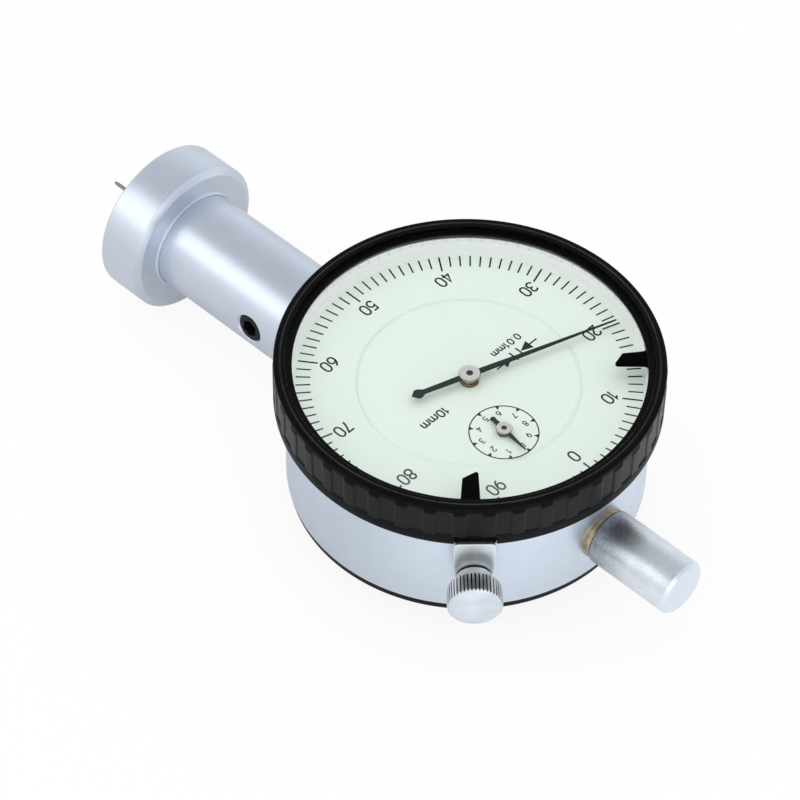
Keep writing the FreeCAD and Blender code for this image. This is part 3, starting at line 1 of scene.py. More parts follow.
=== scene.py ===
"""Looks of a dial depth gauge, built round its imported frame.

The gauge lies in the frame with its spindle along +Y, its dial facing +Z and three o'clock
towards +X. Sizes are in millimetres and become metres when a mesh is made.
"""

import json
import logging
import math
from dataclasses import dataclass, field
from enum import Enum
from typing import Callable, ClassVar, Iterable, Optional, Sequence

import bmesh
import bpy
from mathutils import Matrix, Vector


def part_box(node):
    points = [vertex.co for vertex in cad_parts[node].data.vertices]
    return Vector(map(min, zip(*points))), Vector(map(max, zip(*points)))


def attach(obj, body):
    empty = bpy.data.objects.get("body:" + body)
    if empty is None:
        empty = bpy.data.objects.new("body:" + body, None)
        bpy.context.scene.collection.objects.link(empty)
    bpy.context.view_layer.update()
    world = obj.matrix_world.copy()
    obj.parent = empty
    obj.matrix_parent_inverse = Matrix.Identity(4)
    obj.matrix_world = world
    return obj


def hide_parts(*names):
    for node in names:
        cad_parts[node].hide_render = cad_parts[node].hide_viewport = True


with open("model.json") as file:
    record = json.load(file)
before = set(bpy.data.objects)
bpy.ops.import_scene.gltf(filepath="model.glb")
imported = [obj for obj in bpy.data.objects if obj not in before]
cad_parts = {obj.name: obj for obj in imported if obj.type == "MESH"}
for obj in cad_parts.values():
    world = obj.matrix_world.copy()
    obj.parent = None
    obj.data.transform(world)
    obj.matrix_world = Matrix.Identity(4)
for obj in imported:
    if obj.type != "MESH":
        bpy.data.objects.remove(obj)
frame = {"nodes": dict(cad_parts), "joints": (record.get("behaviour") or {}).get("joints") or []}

LOG = logging.getLogger("depth_gauge")
MM = 0.001
TINY = 0.000001
SHARP_ANGLE = math.radians(32)
BEVEL_ANGLE = math.radians(20)
FINE_STEPS = 360
ROUND_STEPS = 240
SMALL_STEPS = 96
HOLE_STEPS = 48

Outline = Sequence[tuple[float, float]]
Piece = bpy.types.Object
Socket = bpy.types.NodeSocket


def extent(node: str) -> tuple[Vector, Vector]:
    """Give the box of a frame node in millimetres.

    Args:
        node: The node's name.

    Returns:
        Its lowest and its highest corner.
    """
    low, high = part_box(node)
    return low / MM, high / MM


class Spin(Enum):
    """The axis that a piece is turned about."""

    DIAL = "dial"
    SMALL_DIAL = "small dial"
    SPINDLE = "spindle"
    CLAMP = "clamp"


class Grain(Enum):
    """How the surface of a metal was finished."""

    TURNED = "fine rings left by the lathe"
    BLASTED = "even sandy grain"
    POLISHED = "smooth with faint wipe marks"
    SPOKES = "fine marks that run out from the middle"
    PATCHY = "dulled in patches"


@dataclass(frozen=True)
class Datum:
    """Where the axes of the gauge lie, in millimetres and degrees."""

    dial_y: float
    dial_z: float
    small_x: float
    small_y: float
    clamp_azimuth: float
    clamp_z: float

    @classmethod
    def from_frame(cls) -> "Datum":
        """Read the axes from the frame's boxes and joints.

        Returns:
            The axes.
        """
        low, high = extent("crystal")
        joints = {joint["name"]: joint for joint in frame["joints"]}
        small = joints["small_hand_spin"]["pos_m"]
        knob = joints["clamp_screw_turn"]
        return cls(
            dial_y=(low.y + high.y) / 2,
            dial_z=extent("dial_ring")[1].z,
            small_x=small[0] / MM,
            small_y=small[1] / MM,
            clamp_azimuth=math.degrees(math.atan2(-knob["axis"][0], knob["axis"][1])),
            clamp_z=knob["pos_m"][2] / MM,
        )

    def place(self, spin: Spin) -> Matrix:
        """Give the matrix that sets a piece, turned about its own Z, on an axis.

        Args:
            spin: The axis.

        Returns:
            A matrix in millimetres.
        """
        along_y = Matrix.Rotation(math.radians(-90), 4, "X")
        if spin is Spin.DIAL:
            return Matrix.Translation((0, self.dial_y, 0))
        if spin is Spin.SMALL_DIAL:
            return Matrix.Translation((self.small_x, self.small_y, 0))
        if spin is Spin.SPINDLE:
            return along_y
        swing = Matrix.Rotation(math.radians(self.clamp_azimuth), 4, "Z")
        return Matrix.Translation((0, self.dial_y, self.clamp_z)) @ swing @ along_y

    def at_azimuth(self, azimuth: float) -> Matrix:
        """Swing what stands at twelve o'clock counter-clockwise about the dial.

        Args:
            azimuth: The angle, in degrees.

        Returns:
            The matrix, in millimetres.
        """
        swing = Matrix.Rotation(math.radians(azimuth), 4, "Z")
        return self.place(Spin.DIAL) @ swing


@dataclass(frozen=True)
class Corner:
    """One corner of a turned profile, with the length cut off each side to soften it."""

    r: float
    h: float
    soft: float = 0.0


def softened(corners: Sequence[Corner], steps: int = 4) -> list[tuple[float, float]]:
    """Round the corners of a closed profile.

    Args:
        corners: The profile's corners in order.
        steps: How many short lines stand for one rounding.

    Returns:
        The points of the rounded profile.
    """
    points: list[tuple[float, float]] = []
    for i, corner in enumerate(corners):
        here = Vector((corner.r, corner.h))
        before = Vector((corners[i - 1].r, corners[i - 1].h)) - here
        after_corner = corners[(i + 1) % len(corners)]
        after = Vector((after_corner.r, after_corner.h)) - here
        cut = min(corner.soft, before.length / 2, after.length / 2)
        if cut < TINY:
            points.append((here.x, here.y))
            continue
        start = here + before.normalized() * cut
        end = here + after.normalized() * cut
        for step in range(steps + 1):
            t = step / steps
            p = start * (1 - t) ** 2 + here * (2 * t * (1 - t)) + end * t ** 2
            points.append((p.x, p.y))
    return points


class Forge:
    """Turns numbers into mesh objects."""

    @staticmethod
    def finish_mesh(name: str, mesh: bmesh.types.BMesh, place: Matrix) -> Piece:
        """Move a mesh to its place, shade it and link it to the scene.

        Args:
            name: The object's name.
            mesh: The mesh, in millimetres, which is freed.
            place: Where it goes, in millimetres.

        Returns:
            The new object, standing at the frame's origin.
        """
        bmesh.ops.transform(mesh, matrix=Matrix.Scale(MM, 4) @ place, verts=mesh.verts)
        bmesh.ops.recalc_face_normals(mesh, faces=mesh.faces)
        Forge.shade(mesh)
        data = bpy.data.meshes.new(name)
        mesh.to_mesh(data)
        mesh.free()
        thing = bpy.data.objects.new(name, data)
        bpy.context.scene.collection.objects.link(thing)
        return thing

    @staticmethod
    def shade(mesh: bmesh.types.BMesh) -> None:
        """Shade faces smooth and keep edges over the sharp angle crisp.

        Args:
            mesh: The mesh.
        """
        for face in mesh.faces:
            face.smooth = True
        for edge in mesh.edges:
            crisp = len(edge.link_faces) == 2 and edge.calc_face_angle() > SHARP_ANGLE
            edge.smooth = not crisp

    @staticmethod
    def turned(name: str, corners: Sequence[Corner], place: Matrix, steps: int = ROUND_STEPS,
               angles: Optional[Sequence[float]] = None,
               radius_at: Optional[Callable[[float, float, float], float]] = None,
               ) -> Piece:
        """Turn a closed profile about its own Z.

        Args:
            name: The object's name.
            corners: The profile, as radius and height.
            place: The matrix that sets it on its axis.
            steps: How many sections the turn has, where no angles are given.
            angles: The angles of the sections, in degrees.
            radius_at: Gives the radius at an angle from the profile's radius and height.

        Returns:
            The turned object.
        """
        profile = softened(corners)
        if angles is None:
            angles = [360 * i / steps for i in range(steps)]
        mesh = bmesh.new()
        rings: list[list[bmesh.types.BMVert]] = []
        for r, h in profile:
            if r < TINY:
                rings.append([mesh.verts.new((0, 0, h))])
                continue
            ring = []
            for angle in angles:
                radius = radius_at(angle, r, h) if radius_at else r
                a = math.radians(angle)
                ring.append(mesh.verts.new((radius * math.cos(a), radius * math.sin(a), h)))
            rings.append(ring)
        count = len(angles)
        for i, ring in enumerate(rings):
            upper = rings[(i + 1) % len(rings)]
            if len(ring) == 1 and len(upper) == 1:
                continue
            for j in range(count):
                k = (j + 1) % count
                if len(ring) == 1:
                    mesh.faces.new((ring[0], upper[j], upper[k]))
                elif len(upper) == 1:
                    mesh.faces.new((ring[j], upper[0], ring[k]))
                else:
                    mesh.faces.new((ring[j], upper[j], upper[k], ring[k]))
        return Forge.finish_mesh(name, mesh, place)

    @staticmethod
    def rod(name: str, radius: float, low: float, high: float, place: Matrix,
            steps: int = HOLE_STEPS) -> Piece:
        """Turn a plain rod, to drill a hole with or to stand as a foot.

        Args:
            name: The object's name.
            radius: Its radius.
            low: The height of its lower end.
            high: The height of its upper end.
            place: The matrix that sets it on its axis.
            steps: How many sections the turn has.

        Returns:
            The rod.
        """
        corners = [Corner(0, low), Corner(radius, low), Corner(radius, high), Corner(0, high)]
        return Forge.turned(name, corners, place, steps)

    @staticmethod
    def prism(name: str, outline: Outline, low: float, high: float, place: Matrix,
              soft: float = 0.0) -> Piece:
        """Raise an outline into a solid, with softened edges if asked.

        Args:
            name: The object's name.
            outline: Its corners in its own XY plane.
            low: The lower height.
            high: The upper height.
            place: The matrix that sets it in the gauge.
            soft: The width of the softened edges.

        Returns:
            The solid.
        """
        mesh = bmesh.new()
        bottom = [mesh.verts.new((x, y, low)) for x, y in outline]
        face = mesh.faces.new(bottom)
        raised = bmesh.ops.extrude_face_region(mesh, geom=[face])
        tops = [v for v in raised["geom"] if isinstance(v, bmesh.types.BMVert)]
        bmesh.ops.translate(mesh, vec=(0, 0, high - low), verts=tops)
        if soft:
            edges = [e for e in mesh.edges
                     if len(e.link_faces) == 2 and e.calc_face_angle(0) > BEVEL_ANGLE]
            bmesh.ops.bevel(mesh, geom=edges, offset=soft, segments=2, profile=0.6,
                            affect="EDGES", clamp_overlap=True)
        return Forge.finish_mesh(name, mesh, place)

    @staticmethod
    def carve(thing: Piece, cutters: Iterable[Piece]) -> None:
        """Cut shapes out of an object and remove the shapes.

        Args:
            thing: What is cut.
            cutters: The shapes, which are deleted.
        """
        for cutter in cutters:
            modifier = thing.modifiers.new("cut", "BOOLEAN")
            modifier.operation = "DIFFERENCE"
            modifier.solver = "EXACT"
            modifier.object = cutter
            Forge.apply_modifiers(thing)
            bpy.data.objects.remove(cutter)

    @staticmethod
    def apply_modifiers(thing: Piece) -> None:
        """Replace an object's mesh by what its modifiers make of it.

        Args:
            thing: The object.
        """
        bpy.context.view_layer.update()
        graph = bpy.context.evaluated_depsgraph_get()
        data = bpy.data.meshes.new_from_object(thing.evaluated_get(graph))
        thing.modifiers.clear()
        thing.data = data
        mesh = bmesh.new()
        mesh.from_mesh(data)
        Forge.shade(mesh)
        mesh.to_mesh(data)
        mesh.free()

    @staticmethod
    def joined(name: str, things: Sequence[Piece]) -> Piece:
        """Put several meshes into one object.

        Args:
            name: The name of the new object.
            things: The objects, which are deleted.

        Returns:
            The new object.
        """
        mesh = bmesh.new()
        for thing in things:
            mesh.from_mesh(thing.data)
            bpy.data.objects.remove(thing)
        data = bpy.data.meshes.new(name)
        mesh.to_mesh(data)
        mesh.free()
        whole = bpy.data.objects.new(name, data)
        bpy.context.scene.collection.objects.link(whole)
        return whole


class Bench:
    """A node tree while it is wired together."""

    def __init__(self, tree: bpy.types.NodeTree) -> None:
        """Take up a tree.

        Args:
            tree: The tree.
        """
        self.tree = tree

    def add(self, kind: str, inputs: Optional[dict] = None, **settings: object) -> bpy.types.Node:
        """Add a node.

        Args:
            kind: The node's type, without its usual prefix.
            inputs: Values or sockets for its inputs, by name or index.
            settings: The node's own properties.

        Returns:
            The node.
        """
        node = self.tree.nodes.new("ShaderNode" + kind)
        for key, value in settings.items():
            setattr(node, key, value)
        for key, value in (inputs or {}).items():
            if isinstance(value, Socket):
                self.tree.links.new(value, node.inputs[key])
            else:
                node.inputs[key].default_value = value
        return node

    def span(self, value: Socket, low: float, high: float,
             near: float = 0.3, far: float = 0.7) -> Socket:
        """Spread a value between two numbers.

        Args:
            value: The value.
            low: What the near value becomes.
            high: What the far value becomes.
            near: The value that becomes the low number.
            far: The value that becomes the high number.

        Returns:
            The socket with the spread value.
        """
        node = self.add("MapRange", {"Value": value, "From Min": near, "From Max": far,
                                     "To Min": low, "To Max": high})
        return node.outputs[0]

    def blend(self, value: Socket, first: Sequence[float],
              second: Sequence[float], near: float = 0.3,
              far: float = 0.7) -> Socket:
        """Mix two colours by a value.

        Args:
            value: The value.
            first: The colour up to the near value.
            second: The colour from the far value on.
            near: Where the first colour starts to change.
            far: Where the second colour is reached.

        Returns:
            The socket with the colour.
        """
        ramp = self.add("ValToRGB", {0: value})
        stops = ramp.color_ramp.elements
        for stop, position, colour in zip(stops, (near, far), (first, second)):
            stop.position = position
            stop.color = (*colour, 1)
        return ramp.outputs[0]

    def mixed(self, share: float | Socket, first: bpy.types.Node,
              second: bpy.types.Node) -> bpy.types.Node:
        """Mix two shaders.

        Args:
            share: How much of the second shader there is.
            first: The first shader.
            second: The second shader.

        Returns:
            The node that mixes them.
        """
        return self.add("MixShader", {0: share, 1: first.outputs[0], 2: second.outputs[0]})

    def rays(self) -> tuple[Socket, Socket]:
        """Tell apart the rays that end on a surface.

        Returns:
            A socket that is 1 for the rays from the camera, also through the crystal, and
            one that is 1 for mirrored rays.
        """
        path = self.add("LightPath")
        seen = self.add("Math", {0: path.outputs["Is Camera Ray"],
                                 1: path.outputs["Is Transmission Ray"]},
                        operation="MAXIMUM")
        return seen.outputs[0], path.outputs["Is Glossy Ray"]


class NodeBench(Bench):
    """A material's nodes while they are wired together."""

    def __init__(self, name: str) -> None:
        """Start a material with its usual shader.

        Args:
            name: The material's name.
        """
        self.material = bpy.data.materials.new(name)
        self.material.use_nodes = True
        super().__init__(self.material.node_tree)
        self.shader = next(n for n in self.tree.nodes if n.type == "BSDF_PRINCIPLED")
        self.output = next(n for n in self.tree.nodes if n.type == "OUTPUT_MATERIAL")

    def set(self, **values: object) -> None:
        """Set or wire the shader's sockets.

        Args:
            values: The values, by the socket's name with its spaces as underscores.
        """
        for key, value in values.items():
            socket = self.shader.inputs[key.replace("_", " ")]
            if isinstance(value, Socket):
                self.tree.links.new(value, socket)
            else:
                socket.default_value = value

    def millimetres(self, place: Optional[Matrix] = None) -> Socket:
        """Give the point of the surface in millimetres.

        Args:
            place: The matrix of the piece's own axes, or None for the frame's.

        Returns:
            The socket with the point.
        """
        point = self.add("TexCoord").outputs["Object"]
        scaled = self.add("VectorMath", {0: point, "Scale": 1 / MM}, operation="SCALE")
        if place is None:
            return scaled.outputs[0]
        back = place.inverted()
        mapping = self.add("Mapping", {"Vector": scaled.outputs[0],
                                       "Location": back.to_translation(),
                                       "Rotation": back.to_euler()})
        return mapping.outputs[0]

    def noise(self, point: Socket, scale: float, detail: float = 2.0,
              rough: float = 0.5) -> Socket:
        """Give soft noise over the surface.

        Args:
            point: The point of the surface.
            scale: How many features there are to a millimetre.
            detail: How many finer layers are added.
            rough: How strong each finer layer is.

        Returns:
            The socket with the noise.
        """
        node = self.add("TexNoise", {"Vector": point, "Scale": scale, "Detail": detail,
                                     "Roughness": rough})
        return node.outputs[0]

    def radius(self, local: Socket) -> Socket:
        """Give a point's distance from its own Z axis.

        Args:
            local: The point in the piece's own axes.

        Returns:
            The socket with the distance.
        """
        parts = self.add("SeparateXYZ", {0: local})
        flat = self.add("CombineXYZ", {0: parts.outputs[0], 1: parts.outputs[1]})
        return self.add("VectorMath", {0: flat.outputs[0]}, operation="LENGTH").outputs["Value"]

    def rings(self, local: Socket, scale: float) -> Socket:
        """Give noise that changes only along a turned surface, as a lathe's marks do.

        Args:
            local: The point in the piece's own axes.
            scale: How many marks there are to a millimetre.

        Returns:
            The socket with the noise.
        """
        parts = self.add("SeparateXYZ", {0: local})
        travel = self.add("Math", {0: self.radius(local), 1: parts.outputs[2]},
                          operation="ADD")
        node = self.add("TexNoise", {"W": travel.outputs[0], "Scale": scale, "Detail": 3.0},
                        noise_dimensions="1D")
        return node.outputs[0]

    def spokes(self, local: Socket, scale: float) -> Socket:
        """Give noise that changes only round a face's middle.

        Args:
            local: The point in the piece's own axes.
            scale: How many marks there are to a radian.

        Returns:
            The socket with the noise.
        """
        parts = self.add("SeparateXYZ", {0: local})
        turn = self.add("Math", {0: parts.outputs[1], 1: parts.outputs[0]},
                        operation="ARCTAN2")
        node = self.add("TexNoise", {"W": turn.outputs[0], "Scale": scale, "Detail": 3.0},
                        noise_dimensions="1D")
        return node.outputs[0]

    def bump(self, height: Socket, depth: float) -> Socket:
        """Turn a height into a surface normal.

        Args:
            height: The height, from 0 to 1.
            depth: What a height of 1 stands for, in millimetres.

        Returns:
            The socket with the normal.
        """
        return self.add("Bump", {"Height": height, "Distance": depth * MM,
                                 "Strength": 1.0}).outputs[0]

    def surface(self, shader: bpy.types.Node) -> None:
        """Make a shader the material's surface."""
        self.tree.links.new(shader.outputs[0], self.output.inputs[0])


@dataclass(frozen=True)
class Metal:
    """A bare or plated metal with its grain. The scales are marks to a millimetre."""

    CLOUD_SCALE: ClassVar[float] = 0.35
    FINE_SCALE: ClassVar[float] = 9.0
    MARK_SCALE: ClassVar[float] = 14.0
    PATCH_SCALE: ClassVar[float] = 1.1
    BLOTCH_SCALE: ClassVar[float] = 1.6

    name: str
    slot: str
    tone: tuple[float, float, float]
    shade: tuple[float, float, float]
    roughness: float
    grain: Grain
    spin: Optional[Spin] = None
    depth: float = 0.0006
    # Tarnish together with a painted dark reflection of the bezel, fading over this length from
    # the cap's start.
    tarnish: float = 0.0
    tarnish_tone: tuple[float, float, float] = (0.13, 0.135, 0.14)
    tarnish_share: float = 0.9

    def material(self, datum: Datum) -> bpy.types.Material:
        """Build the metal's nodes.

        Args:
            datum: The gauge's axes, which the lathe's marks run round.

        Returns:
            The material.
        """
        bench = NodeBench(self.name)
        point = bench.millimetres()
        cloud = bench.noise(point, self.CLOUD_SCALE, 3.0)
        fine = bench.noise(point, self.FINE_SCALE, 3.0, 0.6)
        spread = 0.05 if self.grain is Grain.POLISHED else 0.08
        if self.grain is Grain.TURNED and self.spin is not None:
            marks = bench.rings(bench.millimetres(datum.place(self.spin)), self.MARK_SCALE)
            texture = bench.add("Mix", {"Factor": 0.35, 2: marks, 3: fine}).outputs[0]
        elif self.grain is Grain.SPOKES and self.spin is not None:
            spokes = bench.spokes(bench.millimetres(datum.place(self.spin)), self.MARK_SCALE)
            texture = bench.add("Mix", {"Factor": 0.3, 2: spokes, 3: fine}).outputs[0]
        elif self.grain is Grain.PATCHY:
            texture = bench.noise(point, self.PATCH_SCALE, 5.0, 0.7)
        elif self.grain is Grain.BLASTED:
            texture = bench.noise(point, self.FINE_SCALE, 4.0, 0.8)
        else:
            texture = fine
        tint = bench.add("Mix", {"Factor": 0.5, 2: cloud, 3: texture}).outputs[0]
        colour = bench.blend(tint, self.shade, self.tone)
        if self.tarnish and self.spin is not None:
            colour = self.tarnished(bench, datum, colour)
        bench.set(
            Base_Color=colour,
            Metallic=1.0,
            Roughness=bench.span(texture, self.roughness - spread, self.roughness + spread),
            Normal=bench.bump(texture, self.depth),
        )
        return bench.material

    def tarnished(self, bench: NodeBench, datum: Datum,
                  colour: Socket) -> Socket:
        """Darken the metal in blotches that thin out along its axis from the cap's start: partly
        tarnish, partly a painted dark reflection of the bezel.

        Args:
            bench: The nodes so far.
            datum: The gauge's axes.
            colour: The clean colour.

        Returns:
            The dulled colour.
        """
        start = extent("dust_cap")[0].y
        local = bench.millimetres(datum.place(self.spin))
        along = bench.add("SeparateXYZ", {0: local}).outputs[2]
        blotch = bench.noise(bench.millimetres(), self.BLOTCH_SCALE, 4.0, 0.7)
        fade = bench.span(along, self.tarnish_share, 0.0, start, start + self.tarnish)
        share = bench.add("Math", {0: fade, 1: bench.span(blotch, 0.5, 1.0)},
                          operation="MULTIPLY")
        dull = bench.add("Mix", {0: share.outputs[0], 6: colour, 7: (*self.tarnish_tone, 1)},
                         data_type="RGBA")
        return dull.outputs[2]


@dataclass(frozen=True)
class Knurl:
    """Chrome on the clamp's knob, with painted shade in its flutes, where the colour goes near
    black.
    """

    GRIME_SCALE: ClassVar[float] = 7.0

    name: str
    slot: str
    tone: tuple[float, float, float]
    shade: tuple[float, float, float]
    roughness: float
    flute_floor: float = 3.83
    flute_edge: float = 3.9

    def material(self, datum: Datum) -> bpy.types.Material:
        """Build the knurl's nodes.

        Args:
            datum: The gauge's axes, which give the distance from the knob's axis.

        Returns:
            The material.
        """
        bench = NodeBench(self.name)
        local = bench.millimetres(datum.place(Spin.CLAMP))
        # Painted shade: the colour goes from the lands' chrome to near black down in the flutes,
        # by the distance from the knob's axis.
        height = bench.span(bench.radius(local), 0.0, 1.0, self.flute_floor, self.flute_edge)
        fine = bench.noise(bench.millimetres(), self.GRIME_SCALE, 3.0)
        flute_shade = bench.add("Math", {0: bench.span(fine, -0.12, 0.12), 1: height},
                           operation="ADD")
        bench.set(
            Base_Color=bench.blend(flute_shade.outputs[0], self.shade, self.tone, 0.25, 0.85),
            Metallic=1.0,
            Roughness=bench.span(fine, self.roughness - 0.04, self.roughness + 0.06),
            Normal=bench.bump(fine, 0.0004),
        )
        return bench.material


@dataclass(frozen=True)
class Enamel:
    """A paint, ink or plastic with a slight texture."""

    CLOUD_SCALE: ClassVar[float] = 0.12

    name: str
    slot: str
    tone: tuple[float, float, float]
    shade: tuple[float, float, float]
    roughness: float
    specular: float = 0.5
    texture_scale: float = 3.0
    depth: float = 0.002

    def material(self, datum: Datum) -> bpy.types.Material:
        """Build the coating's nodes.

        Args:
            datum: The gauge's axes, which a coating doesn't need.

        Returns:
            The material.
        """
        bench = NodeBench(self.name)
        point = bench.millimetres()
        cloud = bench.noise(point, self.CLOUD_SCALE, 2.0)
        peel = bench.noise(point, self.texture_scale, 3.0)
        tint = bench.add("Mix", {"Factor": 0.4, 2: cloud, 3: peel}).outputs[0]
        bench.set(
            Base_Color=bench.blend(tint, self.shade, self.tone),
            Roughness=bench.span(peel, self.roughness - 0.05, self.roughness + 0.05),
            Normal=bench.bump(peel, self.depth),
            Specular_IOR_Level=self.specular,
        )
        return bench.material


@dataclass(frozen=True)
class ClearDisc:
    """The crystal: clear, with the reflections of its two faces."""

    SMEAR_SCALE: ClassVar[float] = 0.2
    IOR: ClassVar[float] = 1.45

    name: str
    slot: str
    gloss: float = 0.14

    def material(self, datum: Datum) -> bpy.types.Material:
        """Build the crystal's nodes.

        Args:
            datum: The gauge's axes, which the crystal doesn't need.

        Returns:
            The material.
        """
        bench = NodeBench(self.name)
        smear = bench.noise(bench.millimetres(), self.SMEAR_SCALE, 3.0)
        clear = bench.add("BsdfTransparent", {"Color": (0.995, 1.0, 0.997, 1)})
        gloss = bench.add("BsdfGlossy", {"Color": (1, 1, 1, 1),
                                         "Roughness": bench.span(smear, 0.01, 0.04)})
        edge = bench.add("Fresnel", {"IOR": self.IOR}).outputs[0]
        amount = bench.add("Math", {0: edge, 1: self.gloss}, operation="MULTIPLY")
        bench.surface(bench.mixed(amount.outputs[0], clear, gloss))
        bench.tree.nodes.remove(bench.shader)
        return bench.material


class Finish(Enum):
    """Every finish on the gauge."""

    SATIN_DISC = Metal("satin_steel_base", "satin_steel", (0.74, 0.79, 0.87),
                       (0.68, 0.73, 0.82), 0.34, Grain.TURNED, Spin.SPINDLE)
    SATIN_CASE = Metal("satin_steel_case", "satin_steel", (0.74, 0.81, 0.9),
                       (0.68, 0.75, 0.85), 0.38, Grain.TURNED, Spin.DIAL)
    # The cap darkens towards the collar: partly tarnish, partly a painted reflection of the black
    # bezel.
    GRAINY_CAP = Metal("satin_steel_cap", "satin_steel", (0.9, 0.95, 1.0),
                       (0.68, 0.72, 0.77), 0.28, Grain.BLASTED, Spin.SPINDLE, 0.016,
                       tarnish=7.0)
    CAP_END = Metal("satin_cap_end", "satin_steel", (0.8, 0.86, 0.93), (0.74, 0.8, 0.88), 0.36,
                    Grain.TURNED, Spin.SPINDLE)
    # The knurl's near-black second colour is painted shade in its flutes.
    KNURL = Knurl("chromed_knurl", "chrome", (0.92, 0.92, 0.93), (0.008, 0.006, 0.008), 0.3)
    DOME = Metal("satin_dome", "chrome", (0.84, 0.89, 0.94), (0.6, 0.65, 0.72), 0.4,
                 Grain.SPOKES, Spin.CLAMP, depth=0.008)
    DULL_CHROME = Metal("dull_chrome", "chrome", (0.86, 0.84, 0.85), (0.5, 0.49, 0.5), 0.34,
                        Grain.POLISHED)
    BRACKET = Metal("polished_bracket", "polished_steel", (0.88, 0.93, 0.94),
                    (0.72, 0.78, 0.8), 0.34, Grain.POLISHED, depth=0.0008)
    # The hook's near-black colour is painted shade: it stands for the shadow inside the seat
    # ring's notch.
    HOOK = Enamel("hook_painted_shade", "polished_steel", (0.003, 0.003, 0.003),
                  (0.001, 0.001, 0.001), 0.5, 0.03, 8.0, 0.001)
    NEEDLE_STEEL = Metal("ground_needle", "hardened_steel", (0.36, 0.355, 0.35),
                         (0.2, 0.2, 0.2), 0.25, Grain.TURNED, Spin.SPINDLE)
    # The arbors' dark tone is painted shade for their ends, seen down the hub caps' bores.
    ARBOR_STEEL = Metal("arbor_painted_shade", "hardened_steel", (0.2, 0.15, 0.08),
                        (0.05, 0.045, 0.04), 0.25, Grain.POLISHED)
    GROUND_STEEL = Metal("ground_steel", "hardened_steel", (0.56, 0.57, 0.6),
                         (0.46, 0.47, 0.5), 0.25, Grain.POLISHED)
    SPRING_WIRE = Metal("spring_wire", "spring_steel", (0.42, 0.43, 0.46),
                        (0.3, 0.31, 0.34), 0.3, Grain.POLISHED)
    COLLAR_BRASS = Metal("collar_brass", "brass", (0.85, 0.72, 0.47), (0.08, 0.06, 0.03), 0.2,
                         Grain.PATCHY, depth=0.004)
    HUB_BRASS = Metal("hub_brass", "brass", (0.86, 0.62, 0.3), (0.07, 0.05, 0.03), 0.2,
                      Grain.PATCHY, depth=0.001)
    PLATE_BRASS = Metal("plate_brass", "brass", (0.66, 0.52, 0.28), (0.52, 0.4, 0.2), 0.32,
                        Grain.BLASTED, depth=0.001)
    HUB_NICKEL = Metal("hub_nickel", "nickel", (0.95, 0.92, 0.85), (0.84, 0.8, 0.72), 0.3,
                       Grain.POLISHED, depth=0.0008)
    # A darker copy of the hub nickel: painted shade on the caps' sides and bevels.
    HUB_EDGE = Metal("hub_edge", "nickel", (0.42, 0.41, 0.38), (0.2, 0.2, 0.19), 0.22,
                     Grain.POLISHED, depth=0.0008)
    BEZEL_BLACK = Enamel("bezel_enamel", "black_gloss", (0.004, 0.004, 0.004),
                         (0.002, 0.002, 0.002), 0.25, 0.06, 2.0, 0.002)
    BEZEL_SIDE = Enamel("bezel_grip", "black_gloss", (0.007, 0.007, 0.007),
                        (0.004, 0.004, 0.004), 0.35, 0.15, 2.0, 0.002)
    # A lighter grey on the bezel's groove and lip edge: a painted highlight.
    BEZEL_EDGE = Enamel("edge_painted_highlight", "black_gloss", (0.045, 0.045, 0.044),
                        (0.008, 0.008, 0.008), 0.3, 0.35, 2.6, 0.004)
    RING_BLACK = Enamel("seat_ring_enamel", "black_gloss", (0.006, 0.006, 0.007),
                        (0.003, 0.003, 0.003), 0.4, 0.08, 4.0, 0.002)
    COVER_BLACK = Enamel("cover_enamel", "black_gloss", (0.012, 0.012, 0.013),
                         (0.006, 0.006, 0.006), 0.35, 0.1, 5.0, 0.004)
    SCREW_BLACK = Enamel("blackened_screw", "blackened_steel", (0.01, 0.01, 0.01),
                         (0.004, 0.004, 0.004), 0.35, 0.15, 8.0, 0.003)
    MINT = Enamel("mint_dial", "mint_dial", (0.8, 0.885, 0.81), (0.78, 0.87, 0.79), 0.6,
                  0.15, 5.0, 0.0008)
    INK = Enamel("printing_ink", "black_paint", (0.008, 0.011, 0.011),
                 (0.004, 0.006, 0.006), 0.7, 0.05, 12.0, 0.001)
    HAND_BLACK = Enamel("hand_paint", "black_paint", (0.006, 0.013, 0.012),
                        (0.003, 0.007, 0.006), 0.5, 0.06, 10.0, 0.001)
    MARKER_BLACK = Enamel("marker_paint", "black_paint", (0.002, 0.002, 0.002),
                          (0.001, 0.001, 0.001), 0.5, 0.02, 6.0, 0.002)
    WHITE_RING = Enamel("white_ring", "white_plastic", (0.99, 0.99, 0.99),
                        (0.98, 0.98, 0.98), 0.6, 0.2, 2.0, 0.001)
    BEARING_STONE = Enamel("bearing_stone", "jewel", (0.5, 0.02, 0.06), (0.3, 0.01, 0.04),
                           0.12, 0.8, 6.0, 0.0005)
    CRYSTAL = ClearDisc("crystal_clear", "clear_crystal")


